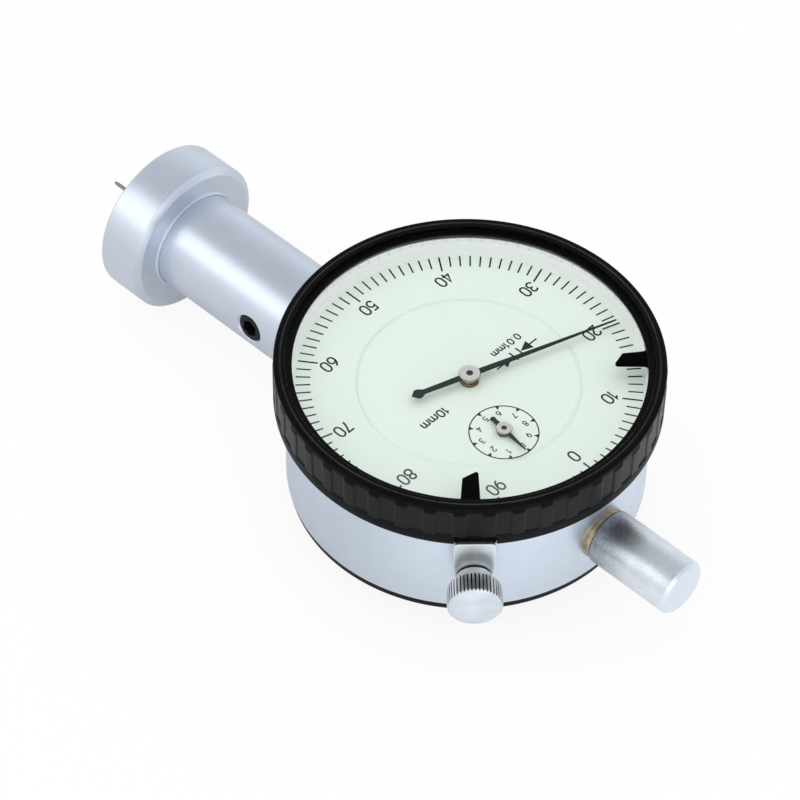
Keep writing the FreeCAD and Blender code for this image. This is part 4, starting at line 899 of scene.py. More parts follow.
@dataclass
class Workshop:
    """What every sub-assembly shares: the axes and the finishes already mixed."""

    datum: Datum
    mixed: dict[Finish, bpy.types.Material] = field(default_factory=dict)

    def paint(self, thing: Piece, finish: Finish) -> None:
        """Give an object a finish.

        Args:
            thing: The object.
            finish: The finish, which is built on its first use.
        """
        if finish not in self.mixed:
            self.mixed[finish] = finish.value.material(self.datum)
        thing.data.materials.clear()
        thing.data.materials.append(self.mixed[finish])

    def fit(self, thing: Piece, finish: Finish, body: str,
            *nodes: str) -> Piece:
        """Finish a new piece, put it on its body and hide the nodes it stands for.

        Args:
            thing: The piece.
            finish: Its finish.
            body: The body it moves with.
            nodes: The nodes it replaces.

        Returns:
            The piece.
        """
        self.paint(thing, finish)
        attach(thing, body)
        if nodes:
            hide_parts(*nodes)
        LOG.info("%s rides on %s, finish %s", thing.name, body, finish.value.name)
        return thing

    def dress(self, thing: Piece, finish: Finish,
              where: Callable[[Vector, Vector], bool]) -> None:
        """Give some faces of a piece a second finish.

        Args:
            thing: The piece.
            finish: The finish.
            where: Tells from a face's centre, in millimetres, and its normal whether it
                gets the finish.
        """
        if finish not in self.mixed:
            self.mixed[finish] = finish.value.material(self.datum)
        thing.data.materials.append(self.mixed[finish])
        index = len(thing.data.materials) - 1
        for face in thing.data.polygons:
            if where(face.center / MM, face.normal):
                face.material_index = index


@dataclass
class MeasuringBase:
    """The measuring disc, its sleeve and the needle."""

    shop: Workshop
    disc_r: float = 12.5
    disc_h: float = 8.0
    chamfer_width: float = 1.1
    chamfer_height: float = 0.8
    bead_width: float = 0.45
    bead_height: float = 0.3
    edge: float = 0.3
    bore_r: float = 2.6
    play: float = 0.02
    sleeve_r: float = 8.0
    stem_r: float = 4.02
    spigot_r: float = 6.5
    spigot_length: float = 5.0
    screw_r: float = 2.2
    screw_tilt: float = 4.0
    screw_sunk: float = 0.3
    flare_depth: float = 0.42
    flare_width: float = 0.9
    flare_over: float = 0.5
    socket_flats: float = 2.5
    socket_depth: float = 1.8
    needle_r: float = 0.3
    needle_taper: float = 0.5
    grip_tip_r: float = 1.1
    grip_taper: float = 2.0
    grip_core_r: float = 1.25

    def build(self) -> None:
        """Make every piece of the base."""
        spin = self.shop.datum.place(Spin.SPINDLE)
        self.shop.fit(self.disc(spin), Finish.SATIN_DISC, "case", "base_disc")
        self.shop.fit(self.sleeve(spin), Finish.SATIN_DISC, "case", "sleeve")
        self.shop.fit(self.set_screw(), Finish.SCREW_BLACK, "case", "sleeve_set_screw")
        self.shop.fit(self.needle(spin), Finish.NEEDLE_STEEL, "spindle_unit", "needle")
        self.shop.fit(self.holder(spin), Finish.NEEDLE_STEEL, "spindle_unit",
                      "needle_holder")

    def disc(self, spin: Matrix) -> Piece:
        """Turn the disc with its chamfer and the bead round the sleeve.

        Args:
            spin: The matrix of the spindle's axis.

        Returns:
            The disc.
        """
        r, h = self.disc_r, self.disc_h
        bead = self.sleeve_r + self.bead_width
        seat = self.sleeve_r + self.play
        socket = self.spigot_r + self.play
        floor = h - self.spigot_length
        corners = [
            Corner(self.bore_r, 0, 0.15), Corner(r - self.edge, 0, 0.08),
            Corner(r, self.edge, 0.08),
            Corner(r, h - self.chamfer_height, 0.07), Corner(r - self.chamfer_width, h, 0.09),
            Corner(bead, h, 0.08), Corner(bead - 0.15, h + self.bead_height, 0.1),
            Corner(seat, h + self.bead_height, 0.05), Corner(seat, h - 0.1),
            Corner(socket, h - 0.1), Corner(socket, floor), Corner(self.bore_r, floor),
        ]
        return Forge.turned("measuring_disc", corners, spin)

    def sleeve(self, spin: Matrix) -> Piece:
        """Turn the sleeve and drill the hole for its set screw.

        Args:
            spin: The matrix of the spindle's axis.

        Returns:
            The sleeve.
        """
        low, high = extent("sleeve")
        step = self.disc_h
        stem_end = extent("stem")[0].y - 0.1
        corners = [
            Corner(self.bore_r, low.y), Corner(self.spigot_r, low.y),
            Corner(self.spigot_r, step), Corner(self.sleeve_r, step),
            Corner(self.sleeve_r, high.y, 0.25), Corner(self.stem_r, high.y),
            Corner(self.stem_r, stem_end), Corner(self.bore_r, stem_end),
        ]
        sleeve = Forge.turned("sleeve_tube", corners, spin)
        r = self.screw_r + self.play
        above = self.sleeve_r + self.flare_over
        flare = Forge.turned("flare", [
            Corner(0, 0), Corner(r, 0), Corner(r, self.sleeve_r - self.flare_depth),
            Corner(r + self.flare_width, above), Corner(0, above),
        ], self.screw_place(), SMALL_STEPS)
        Forge.carve(sleeve, [flare])
        return sleeve

    def screw_place(self) -> Matrix:
        """Give the matrix of the set screw's axis, which leans up from three o'clock.

        Returns:
            The matrix, in millimetres.
        """
        low, high = extent("sleeve_set_screw")
        lean = Matrix.Rotation(math.radians(90 - self.screw_tilt), 4, "Y")
        return Matrix.Translation((0, (low.y + high.y) / 2, 0)) @ lean

    def set_screw(self) -> Piece:
        """Make the set screw with its hexagon socket.

        Returns:
            The screw.
        """
        inner = self.stem_r
        outer = self.sleeve_r - self.screw_sunk
        corners = [Corner(0, inner), Corner(self.screw_r, inner),
                   Corner(self.screw_r, outer, 0.25), Corner(0, outer)]
        screw = Forge.turned("set_screw", corners, self.screw_place(), SMALL_STEPS)
        reach = self.socket_flats / math.sqrt(3)
        sides = [(reach * math.cos(math.radians(60 * i)), reach * math.sin(math.radians(60 * i)))
                 for i in range(6)]
        socket = Forge.prism("socket", sides, outer - self.socket_depth, outer + 1,
                             self.screw_place())
        Forge.carve(screw, [socket])
        return screw

    def needle(self, spin: Matrix) -> Piece:
        """Turn the needle with its blunt tip.

        Args:
            spin: The matrix of the spindle's axis.

        Returns:
            The needle.
        """
        low, high = extent("needle")
        corners = [Corner(0, low.y), Corner(self.needle_r / 2, low.y, 0.05),
                   Corner(self.needle_r, low.y + self.needle_taper, 0.15),
                   Corner(self.needle_r, high.y),
                   Corner(0, high.y)]
        return Forge.turned("needle_pin", corners, spin, SMALL_STEPS)

    def holder(self, spin: Matrix) -> Piece:
        """Turn the holder that grips the needle.

        Args:
            spin: The matrix of the spindle's axis.

        Returns:
            The holder.
        """
        low, high = extent("needle_holder")
        r = (high.x - low.x) / 2
        shoulder = extent("spindle")[0].y
        needle_end = extent("needle")[1].y
        corners = [
            Corner(self.needle_r, low.y), Corner(self.grip_tip_r, low.y, 0.1),
            Corner(r, low.y + self.grip_taper, 0.2), Corner(r, shoulder, 0.05),
            Corner(self.grip_core_r, shoulder), Corner(self.grip_core_r, high.y),
            Corner(0, high.y), Corner(0, needle_end), Corner(self.needle_r, needle_end),
        ]
        return Forge.turned("needle_grip", corners, spin, SMALL_STEPS)


@dataclass
class CaseShell:
    """The case, its back cover, the brass collar and the dust cap."""

    shop: Workshop
    wall: float = 2.0
    step: float = 0.7
    shelf_inner: float = 20.5
    shelf_thickness: float = 1.2
    stem_clear: float = 4.05
    bush_clear: float = 4.12
    pocket_r: float = 5.6
    pocket_depth: float = 7.4
    bore_over: float = 2.0
    cover_lip: float = 0.3
    screw_inset: float = 1.9
    screw_head_r: float = 1.85
    screw_core_r: float = 0.9
    screw_head_end: float = 1.0
    sink_mouth_r: float = 2.95
    sink_core_r: float = 0.93
    sink_end: float = 1.02
    cross_reach: float = 1.1
    cross_half: float = 0.2
    cross_depth: float = 0.7
    cross_turns: tuple[float, float] = (25, 115)
    cap_chamfer: float = 0.55
    cap_bore_r: float = 2.4
    cap_end: float = 1.2
    cap_neck: float = 5.0
    neck_r: float = 3.3
    bush_flange: float = 5.5
    bush_bore: float = 2.03
    flange_thickness: float = 2.0
    collar_r: float = 4.1
    collar_groove_r: float = 3.95
    collar_end_r: float = 3.85
    cap_lift: float = 0.22
    band_width: float = 0.95

    def build(self) -> None:
        """Make every piece of the case."""
        self.shop.fit(self.ring(), Finish.SATIN_CASE, "case", "case_body")
        cover = self.cover()
        self.shop.fit(cover, Finish.COVER_BLACK, "case", "back_cover")
        self.shop.fit(self.cover_screws(), Finish.SCREW_BLACK, "case", "back_cover_screws")
        spin = self.shop.datum.place(Spin.SPINDLE)
        self.shop.fit(self.collar(spin), Finish.COLLAR_BRASS, "case", "top_bush")
        cap = self.shop.fit(self.cap(spin), Finish.GRAINY_CAP, "case", "dust_cap")
        self.shop.dress(cap, Finish.CAP_END, lambda centre, normal: normal.y > 0.5)

    def ring(self) -> Piece:
        """Turn the case and bore it for the stem and the collar.

        Returns:
            The case.
        """
        low, high = extent("case_body")
        r = (high.x - low.x) / 2
        inner = r - self.wall
        shoulder = extent("bezel_seat_ring")[0].z
        shelf = extent("lower_plate")[0].z
        corners = [
            Corner(inner, low.z), Corner(r, low.z, 0.18), Corner(r, shoulder, 0.12),
            Corner(r - self.step, shoulder), Corner(r - self.step, high.z, 0.1),
            Corner(inner, high.z, 0.1), Corner(inner, shelf), Corner(self.shelf_inner, shelf),
            Corner(self.shelf_inner, shelf - self.shelf_thickness),
            Corner(inner, shelf - self.shelf_thickness),
        ]
        place = self.shop.datum.place(Spin.DIAL)
        ring = Forge.turned("case_ring", corners, place, FINE_STEPS)
        stem = self.bore("stem_bore", self.stem_clear, self.shop.datum.dial_y - r, 1)
        collar = self.bore("collar_bore", self.bush_clear, self.shop.datum.dial_y + r, -1)
        Forge.carve(ring, [stem, collar])
        return ring

    def bore(self, name: str, clear: float, face: float, inward: int) -> Piece:
        """Turn the shape that bores the case's wall and the pocket behind it.

        Args:
            name: The shape's name.
            clear: The radius through the wall.
            face: Where the wall's outside lies along the spindle.
            inward: 1 where the inside lies further along the spindle, -1 where it doesn't.

        Returns:
            The shape.
        """
        outside = face - inward * self.bore_over
        wall = face + inward * self.wall
        inside = face + inward * self.pocket_depth
        corners = [
            Corner(0, outside), Corner(clear, outside), Corner(clear, wall),
            Corner(self.pocket_r, wall), Corner(self.pocket_r, inside), Corner(0, inside),
        ]
        spin = self.shop.datum.place(Spin.SPINDLE)
        return Forge.turned(name, corners[::inward], spin, SMALL_STEPS)

    def cover(self) -> Piece:
        """Turn the back cover and countersink its screw holes.

        Returns:
            The cover.
        """
        low, high = extent("back_cover")
        r = (high.x - low.x) / 2
        seat = extent("case_body")[0].z
        pilot = r + 0.25 - self.wall - 0.1
        corners = [
            Corner(0, low.z), Corner(r - self.cover_lip, low.z, 0.1),
            Corner(r, low.z + self.cover_lip, 0.1), Corner(r, seat, 0.05),
            Corner(pilot, seat), Corner(pilot, high.z), Corner(0, high.z),
        ]
        cover = Forge.turned("back_plate", corners, self.shop.datum.place(Spin.DIAL),
                             FINE_STEPS)
        holes = []
        for x, y in self.screw_places():
            place = Matrix.Translation((x, y, 0))
            holes.append(Forge.turned("sink", [
                Corner(0, low.z - 1), Corner(self.sink_mouth_r, low.z - 1),
                Corner(self.sink_core_r, low.z + self.sink_end),
                Corner(self.sink_core_r, high.z + 1), Corner(0, high.z + 1),
            ], place, HOLE_STEPS))
        Forge.carve(cover, holes)
        return cover

    def screw_places(self) -> list[tuple[float, float]]:
        """Give the centres of the four cover screws from their box.

        Returns:
            The centres.
        """
        low, high = extent("back_cover_screws")
        return [(x, y) for x in (low.x + self.screw_inset, high.x - self.screw_inset)
                for y in (low.y + self.screw_inset, high.y - self.screw_inset)]

    def cover_screws(self) -> Piece:
        """Make the four countersunk screws with cross recesses.

        Returns:
            The screws as one piece.
        """
        low, high = extent("back_cover_screws")
        head = low.z + 0.05
        reach, half = self.cross_reach, self.cross_half
        slot = [(-reach, -half), (reach, -half), (reach, half), (-reach, half)]
        screws = []
        for x, y in self.screw_places():
            place = Matrix.Translation((x, y, 0))
            screw = Forge.turned("screw", [
                Corner(0, head), Corner(self.screw_head_r, head, 0.06),
                Corner(self.screw_core_r, low.z + self.screw_head_end),
                Corner(self.screw_core_r, high.z), Corner(0, high.z),
            ], place, HOLE_STEPS)
            cross = [
                Forge.prism("slot", slot, low.z - 1, low.z + self.cross_depth,
                            place @ Matrix.Rotation(math.radians(turn), 4, "Z"))
                for turn in self.cross_turns]
            Forge.carve(screw, cross)
            screws.append(screw)
        return Forge.joined("cover_screws", screws)

    def collar(self, spin: Matrix) -> Piece:
        """Turn the brass bush whose collar shows below the cap.

        Args:
            spin: The matrix of the spindle's axis.

        Returns:
            The bush.
        """
        low, high = extent("top_bush")
        flange_top = low.y + self.flange_thickness
        cap_start = extent("dust_cap")[0].y + self.cap_lift
        band = cap_start - self.band_width
        corners = [
            Corner(self.bush_bore, low.y), Corner(self.bush_flange, low.y),
            Corner(self.bush_flange, flange_top), Corner(self.collar_r, flange_top),
            Corner(self.collar_r, band - 0.12, 0.05), Corner(self.collar_groove_r, band),
            Corner(self.collar_r, band + 0.06, 0.05),
            Corner(self.collar_r, cap_start - 0.22, 0.06),
            Corner(self.collar_end_r, cap_start - 0.14), Corner(self.collar_end_r, cap_start),
            Corner(self.neck_r, cap_start),
            Corner(self.neck_r, high.y), Corner(self.bush_bore, high.y),
        ]
        return Forge.turned("brass_collar", corners, spin, SMALL_STEPS * 2)

    def cap(self, spin: Matrix) -> Piece:
        """Turn the dust cap with its chamfered end.

        Args:
            spin: The matrix of the spindle's axis.

        Returns:
            The cap.
        """
        low, high = extent("dust_cap")
        r = (high.x - low.x) / 2
        start = low.y + self.cap_lift
        corners = [
            Corner(self.neck_r + 0.02, start), Corner(r, start, 0.12),
            Corner(r, high.y - self.cap_chamfer, 0.08),
            Corner(r - self.cap_chamfer, high.y, 0.08), Corner(0, high.y),
            Corner(0, high.y - self.cap_end), Corner(self.cap_bore_r, high.y - self.cap_end),
            Corner(self.cap_bore_r, low.y + self.cap_neck),
            Corner(self.neck_r + 0.02, low.y + self.cap_neck),
        ]
        return Forge.turned("end_cap", corners, spin, SMALL_STEPS * 2)


@dataclass
class BezelGroup:
    """The turning bezel with its crystal, the ring it sits on and the limit markers."""

    shop: Workshop
    outer_r: float = 28.4
    bore_r: float = 26.1
    skirt_r: float = 27.25
    skirt_low: float = -2.25
    seam: float = -1.15
    round_start: float = 3.3
    crown_r: float = 28.3
    crown_round: float = 0.3
    crest_inner: float = 26.7
    top: float = 4.87
    groove_r: float = 27.35
    groove_half: float = 0.12
    groove_low: float = 4.6
    lip_r: float = 25.6
    lip_top: float = 3.95
    lip_thickness: float = 0.35
    grip_count: int = 43
    grip_phase: float = -62.65
    grip_depth: float = 0.13
    grip_floor: float = 2.02
    grip_mouth: float = 2.52
    grip_low: float = -0.95
    grip_top: float = 3.85
    grip_fade: float = 0.08
    ring_low: float = -2.72
    ring_web: float = 0.4
    ring_lean: float = 0.3
    ring_bore_r: float = 25.5
    ring_rim: float = 0.2
    play: float = 0.05
    notch_half: float = 3.0
    notch_inner: float = 26.65
    notch_outer: float = 30.0
    marker_width: float = 2.3
    marker_root: float = 2.72
    marker_flare: float = 0.42
    marker_tips: tuple[float, float] = (20.9, 20.25)
    marker_tip: tuple[tuple[float, float], ...] = (
        (0.0, 0.35), (0.1, 0.12), (0.3, 0.0), (0.5, 0.05), (2.18, 1.15), (2.3, 1.3))
    marker_foot_r: float = 25.65
    marker_foot_angle: float = 6.5
    marker_azimuth: float = 47.0

    def build(self) -> None:
        """Make every piece of the bezel group."""
        self.shop.fit(self.seat_ring(), Finish.RING_BLACK, "case", "bezel_seat_ring")
        bezel = self.shop.fit(self.bezel(), Finish.BEZEL_BLACK, "bezel_unit", "bezel")
        self.shop.dress(bezel, Finish.BEZEL_SIDE, self.on_side)
        # Painted highlight on the groove and the lip's edge.
        self.shop.dress(bezel, Finish.BEZEL_EDGE, self.on_edge)
        self.shop.fit(self.spacer(), Finish.WHITE_RING, "bezel_unit", "dial_spacer")
        self.shop.fit(self.crystal(), Finish.CRYSTAL, "bezel_unit", "crystal")
        self.shop.fit(self.marker("left_limit", 1), Finish.MARKER_BLACK, "left_marker_unit",
                      "limit_marker_left")
        self.shop.fit(self.marker("right_limit", -1), Finish.MARKER_BLACK,
                      "right_marker_unit", "limit_marker_right")

    def over_dial(self) -> Matrix:
        """Give the matrix that sets heights above the dial's face."""
        return self.shop.datum.place(Spin.DIAL) @ Matrix.Translation(
            (0, 0, self.shop.datum.dial_z))

    def seat_ring(self) -> Piece:
        """Turn the fixed ring and notch it for the clamp.

        Returns:
            The ring.
        """
        web = self.ring_low + self.ring_web
        inner = self.bore_r - self.play
        skirt = self.skirt_r + self.play
        top = self.seam - self.play
        corners = [
            Corner(inner, self.ring_low), Corner(self.outer_r, self.ring_low, 0.1),
            Corner(self.outer_r, top, 0.08), Corner(skirt, top), Corner(skirt, web),
            Corner(inner, web),
        ]
        ring = Forge.turned("notched_ring", corners, self.over_dial(), FINE_STEPS)
        half = self.notch_half
        near, far = self.notch_inner, self.notch_outer
        swing = Matrix.Rotation(math.radians(self.shop.datum.clamp_azimuth), 4, "Z")
        notch = Forge.prism("notch", [(-half, near), (half, near), (half, far), (-half, far)],
                            self.ring_low - 1, self.seam + 1, self.over_dial() @ swing)
        Forge.carve(ring, [notch])
        return ring

    def grip_angles(self) -> list[float]:
        """Give the section angles that follow the edges of the grip's recesses.

        Returns:
            The angles, in degrees.
        """
        period = 360 / self.grip_count
        inner = [0, 0.5 * self.grip_floor, self.grip_floor - 0.1, self.grip_floor + 0.02,
                 (self.grip_floor + self.grip_mouth) / 2, self.grip_mouth - 0.02,
                 self.grip_mouth + 0.1, 0.75 * period / 2 + 0.2 * self.grip_mouth]
        offsets = sorted({round(s * a, 4) for a in inner for s in (1, -1)} | {period / 2})
        return [90 + self.grip_phase + i * period + offset
                for i in range(self.grip_count) for offset in offsets]

    def grip_radius(self, angle: float, r: float, h: float) -> float:
        """Give the outer radius at an angle, sunk where a recess is.

        Args:
            angle: The angle of the section, in degrees.
            r: The radius of the plain profile.
            h: The height above the dial.

        Returns:
            The radius.
        """
        if r < self.crown_r or not self.grip_low <= h < self.grip_top:
            return r
        period = 360 / self.grip_count
        off = abs((angle - 90 - self.grip_phase + period / 2) % period - period / 2)
        sunk = (self.grip_mouth - off) / (self.grip_mouth - self.grip_floor)
        share = min(max(sunk, 0), 1)
        return min(r, self.outer_r - self.grip_depth * share)

    def bezel(self) -> Piece:
        """Turn the bezel, with a crown of short curves and the grip's recesses.

        Returns:
            The bezel.
        """
        arc_r = self.crown_round
        crown = [Corner(self.crown_r - arc_r * (1 - math.cos(math.radians(a))),
                        self.top - arc_r * (1 - math.sin(math.radians(a))))
                 for a in range(5, 91, 17)]
        wall = [Corner(self.outer_r, self.seam, 0.08)]
        wall += [Corner(self.outer_r, h) for h in (
            self.grip_low - 0.05, self.grip_low, 0.2, 1.6, self.round_start,
            self.grip_top - self.grip_fade)]
        wall.append(Corner(self.outer_r - 0.03, self.grip_top))
        corners = [
            Corner(self.bore_r, self.skirt_low), Corner(self.skirt_r, self.skirt_low),
            Corner(self.skirt_r, self.seam), *wall, *crown,
            Corner(self.groove_r + self.groove_half, self.top, 0.04),
            Corner(self.groove_r, self.top - 0.16, 0.03),
            Corner(self.groove_r - self.groove_half, self.top, 0.04),
            Corner(self.crest_inner, self.top, 0.1),
            Corner(self.crest_inner - 0.1, self.top - 0.12, 0.06),
            Corner(self.crest_inner - 0.1, self.lip_top, 0.08),
            Corner(self.lip_r, self.lip_top, 0.06),
            Corner(self.lip_r, self.lip_top - self.lip_thickness, 0.04),
            Corner(self.bore_r, self.lip_top - self.lip_thickness),
        ]
        return Forge.turned("bezel_ring", corners, self.over_dial(),
                            angles=self.grip_angles(), radius_at=self.grip_radius)

    def on_side(self, centre: Vector, normal: Vector) -> bool:
        """Tell whether a face of the bezel belongs to its upright side.

        Args:
            centre: The face's middle, in millimetres.
            normal: The face's normal, which is not used.

        Returns:
            True for a face of the side.
        """
        out = math.hypot(centre.x, centre.y - self.shop.datum.dial_y)
        level = centre.z - self.shop.datum.dial_z
        top = self.grip_top if out < self.outer_r - self.grip_depth / 4 else self.round_start
        return out > self.skirt_r + 0.3 and level < top - self.grip_fade / 2

    def on_edge(self, centre: Vector, normal: Vector) -> bool:
        """Tell whether a face of the bezel lies in its groove or on its lip's edge, which get a
        painted highlight.

        Args:
            centre: The face's middle, in millimetres.
            normal: The face's normal, which is not used.

        Returns:
            True for a face of either.
        """
        out = math.hypot(centre.x, centre.y - self.shop.datum.dial_y)
        level = centre.z - self.shop.datum.dial_z
        in_groove = abs(out - self.groove_r) < self.groove_half and level > self.groove_low
        on_lip = out < self.lip_r + 0.02 and level < self.lip_top
        return in_groove or on_lip

    def spacer(self) -> Piece:
        """Turn the white ring under the crystal.

        Returns:
            The ring.
        """
        low, high = extent("dial_spacer")
        seat = extent("crystal")[0].z
        outer = (high.x - low.x) / 2
        rim = outer - self.ring_rim
        corners = [
            Corner(self.ring_bore_r, low.z), Corner(outer, low.z), Corner(outer, high.z),
            Corner(rim, high.z), Corner(rim, seat),
            Corner(self.ring_bore_r + self.ring_lean, seat, 0.1),
        ]
        return Forge.turned("white_spacer", corners, self.shop.datum.place(Spin.DIAL))

    def crystal(self) -> Piece:
        """Turn the crystal.

        Returns:
            The crystal.
        """
        low, high = extent("crystal")
        r = (high.x - low.x) / 2
        corners = [Corner(0, low.z), Corner(r, low.z, 0.08), Corner(r, high.z, 0.08),
                   Corner(0, high.z)]
        return Forge.turned("clear_disc", corners, self.shop.datum.place(Spin.DIAL))

    def marker(self, name: str, side: int) -> Piece:
        """Cut a limit marker, with a slanted corner away from twelve o'clock.

        Args:
            name: The piece's name.
            side: 1 for the marker left of twelve, -1 for the one right of it.

        Returns:
            The marker.
        """
        half = self.marker_width / 2
        root = self.marker_root / 2
        tip = self.marker_tips[0 if side > 0 else 1]
        outer = self.bore_r - self.play
        sweep = math.radians(self.marker_foot_angle)
        edge = math.asin((root + self.marker_flare) / self.marker_foot_r)
        arc = [(outer * math.sin(sweep * t), outer * math.cos(sweep * t))
               for t in (i / 6 - 1 for i in range(13))]
        inner = self.marker_foot_r
        outline = arc + [
            (inner * math.sin(sweep), inner * math.cos(sweep)),
            (inner * math.sin(edge), inner * math.cos(edge)),
            (root + 0.3 * self.marker_flare, inner - 0.6 * self.marker_flare),
            (root, inner - 1.6 * self.marker_flare),
            *((half - x, tip + y) for x, y in self.marker_tip),
            (-root, inner - 1.6 * self.marker_flare),
            (-root - 0.3 * self.marker_flare, inner - 0.6 * self.marker_flare),
            (-inner * math.sin(edge), inner * math.cos(edge)),
            (-inner * math.sin(sweep), inner * math.cos(sweep)),
        ]
        outline = [(side * x, y) for x, y in outline]
        low, high = extent("limit_marker_left" if side > 0 else "limit_marker_right")
        place = self.shop.datum.at_azimuth(side * self.marker_azimuth)
        return Forge.prism(name, outline, low.z, high.z, place, 0.06)


@dataclass
class BezelClamp:
    """The bent bracket that holds the bezel and its knurled screw."""

    shop: Workshop
    width: float = 6.0
    plate_outer: float = 28.3
    knob_gap: float = 0.05
    plate_thickness: float = 1.1
    touch: float = 26.77
    hook_inner: float = 27.35
    hook_thickness: float = 0.4
    corner: float = 0.7
    rounding: float = 0.32
    shank_r: float = 1.2
    shank_end: float = 24.85
    shank_play: float = 0.1
    hook_play: float = 0.02
    hook_overlap: float = 0.3
    collar_r: float = 2.65
    collar_length: float = 2.2
    knob_r: float = 3.95
    knob_length: float = 3.0
    dome: float = 0.5
    flutes: int = 44
    flute_depth: float = 0.26
    land_share: float = 2.0
    rim_bevel: float = 0.1
    washer: float = 0.22
    washer_step: float = 0.12

    def build(self) -> None:
        """Make the bracket and the screw."""
        bracket = self.shop.fit(self.bracket(), Finish.BRACKET, "case", "clamp_bracket")
        # Painted shade: the hook's faces above the seat ring's underside go near black.
        hook_start = extent("bezel_seat_ring")[0].z + 0.005
        self.shop.dress(bracket, Finish.HOOK, lambda centre, normal: centre.z > hook_start)
        knob = self.shop.fit(self.knob(), Finish.KNURL, "clamp_screw_unit", "clamp_screw")
        along = self.shop.datum.place(Spin.CLAMP).inverted()
        start = self.plate_outer + self.knob_gap
        knurl = start + self.collar_length
        end = knurl + self.knob_length - self.rim_bevel
        self.shop.dress(knob, Finish.DOME,
                        lambda centre, normal: (along @ centre).z > end)
        self.shop.dress(knob, Finish.DULL_CHROME,
                        lambda centre, normal: (along @ centre).z < knurl)
        self.shop.dress(knob, Finish.SCREW_BLACK,
                        lambda centre, normal: (along @ centre).z < start + self.washer)

    def bracket(self) -> Piece:
        """Cut the plate with rounded corners, and give it its foot and hook.

        Returns:
            The bracket.
        """
        low, high = extent("clamp_bracket")
        top = extent("bezel_seat_ring")[0].z
        outer = self.plate_outer
        inner = outer - self.plate_thickness
        half = self.width / 2
        flat = half - self.corner
        centre = (low.z + top) / 2
        outline = []
        for sx, sz, start in ((1, -1, -90), (1, 1, 0), (-1, 1, 90), (-1, -1, 180)):
            for i in range(7):
                a = math.radians(start + 15 * i)
                outline.append((sx * flat + self.corner * math.cos(a),
                                centre + sz * ((top - low.z) / 2 - self.corner)
                                + self.corner * math.sin(a)))
        upright = Matrix.Rotation(math.radians(90), 4, "X")
        place = self.shop.datum.at_azimuth(self.shop.datum.clamp_azimuth) @ upright
        plate = Forge.prism("plate", outline, -outer, -inner, place, self.rounding)
        hole = Forge.rod("hole", self.shank_r + self.shank_play, inner - 3, outer + 2,
                         self.shop.datum.place(Spin.CLAMP))
        Forge.carve(plate, [hole])
        foot = Forge.prism("foot", [
            (-flat, low.z), (flat, low.z), (flat, low.z + self.plate_thickness),
            (-flat, low.z + self.plate_thickness)], -inner - 0.1, -self.touch, place)
        hook_outer = self.hook_inner + self.hook_thickness
        wide = half - self.hook_play
        base = top - self.hook_overlap
        hook = Forge.prism("hook", [(-wide, base), (wide, base), (wide, high.z),
                                    (-wide, high.z)], -hook_outer, -self.hook_inner, place, 0.05)
        return Forge.joined("clamp_plate", [plate, foot, hook])

    def flute_radius(self, angle: float, r: float, h: float) -> float:
        """Give the knob's radius at an angle, sunk in the flutes of its knurl.

        Args:
            angle: The angle of the section, in degrees.
            r: The radius of the plain profile.
            h: The distance from the dial's axis.

        Returns:
            The radius.
        """
        start = self.plate_outer + self.knob_gap + self.collar_length
        if r < self.knob_r - 0.3 or not start - 0.01 <= h <= start + self.knob_length + 0.1:
            return r
        phase = (angle * self.flutes / 360) % 1.0
        wave = 1 - abs(2 * phase - 1)
        floor = self.knob_r - self.flute_depth
        return min(r, floor + self.flute_depth * min(self.land_share * wave, 1.0))

    def knob(self) -> Piece:
        """Turn the screw with its plain collar, knurl and domed end.

        Returns:
            The screw.
        """
        start = self.plate_outer + self.knob_gap
        knurl = start + self.collar_length
        end = knurl + self.knob_length
        r = self.knob_r
        bevel = self.rim_bevel
        face = r - bevel
        arc = [Corner(face * math.cos(math.radians(a)), end + self.dome * math.sin(
            math.radians(a))) for a in range(10, 90, 8)]
        corners = [
            Corner(0, self.shank_end), Corner(self.shank_r, self.shank_end),
            Corner(self.shank_r, start),
            Corner(self.collar_r - self.washer_step, start),
            Corner(self.collar_r - self.washer_step, start + self.washer),
            Corner(self.collar_r, start + self.washer, 0.06), Corner(self.collar_r, knurl),
            Corner(face, knurl), Corner(r, knurl + bevel), Corner(r, end - bevel),
            Corner(face, end), *arc, Corner(0, end + self.dome),
        ]
        angles = [360 * i / (8 * self.flutes) for i in range(8 * self.flutes)]
        return Forge.turned("knurled_knob", corners, self.shop.datum.place(Spin.CLAMP),
                            angles=angles, radius_at=self.flute_radius)


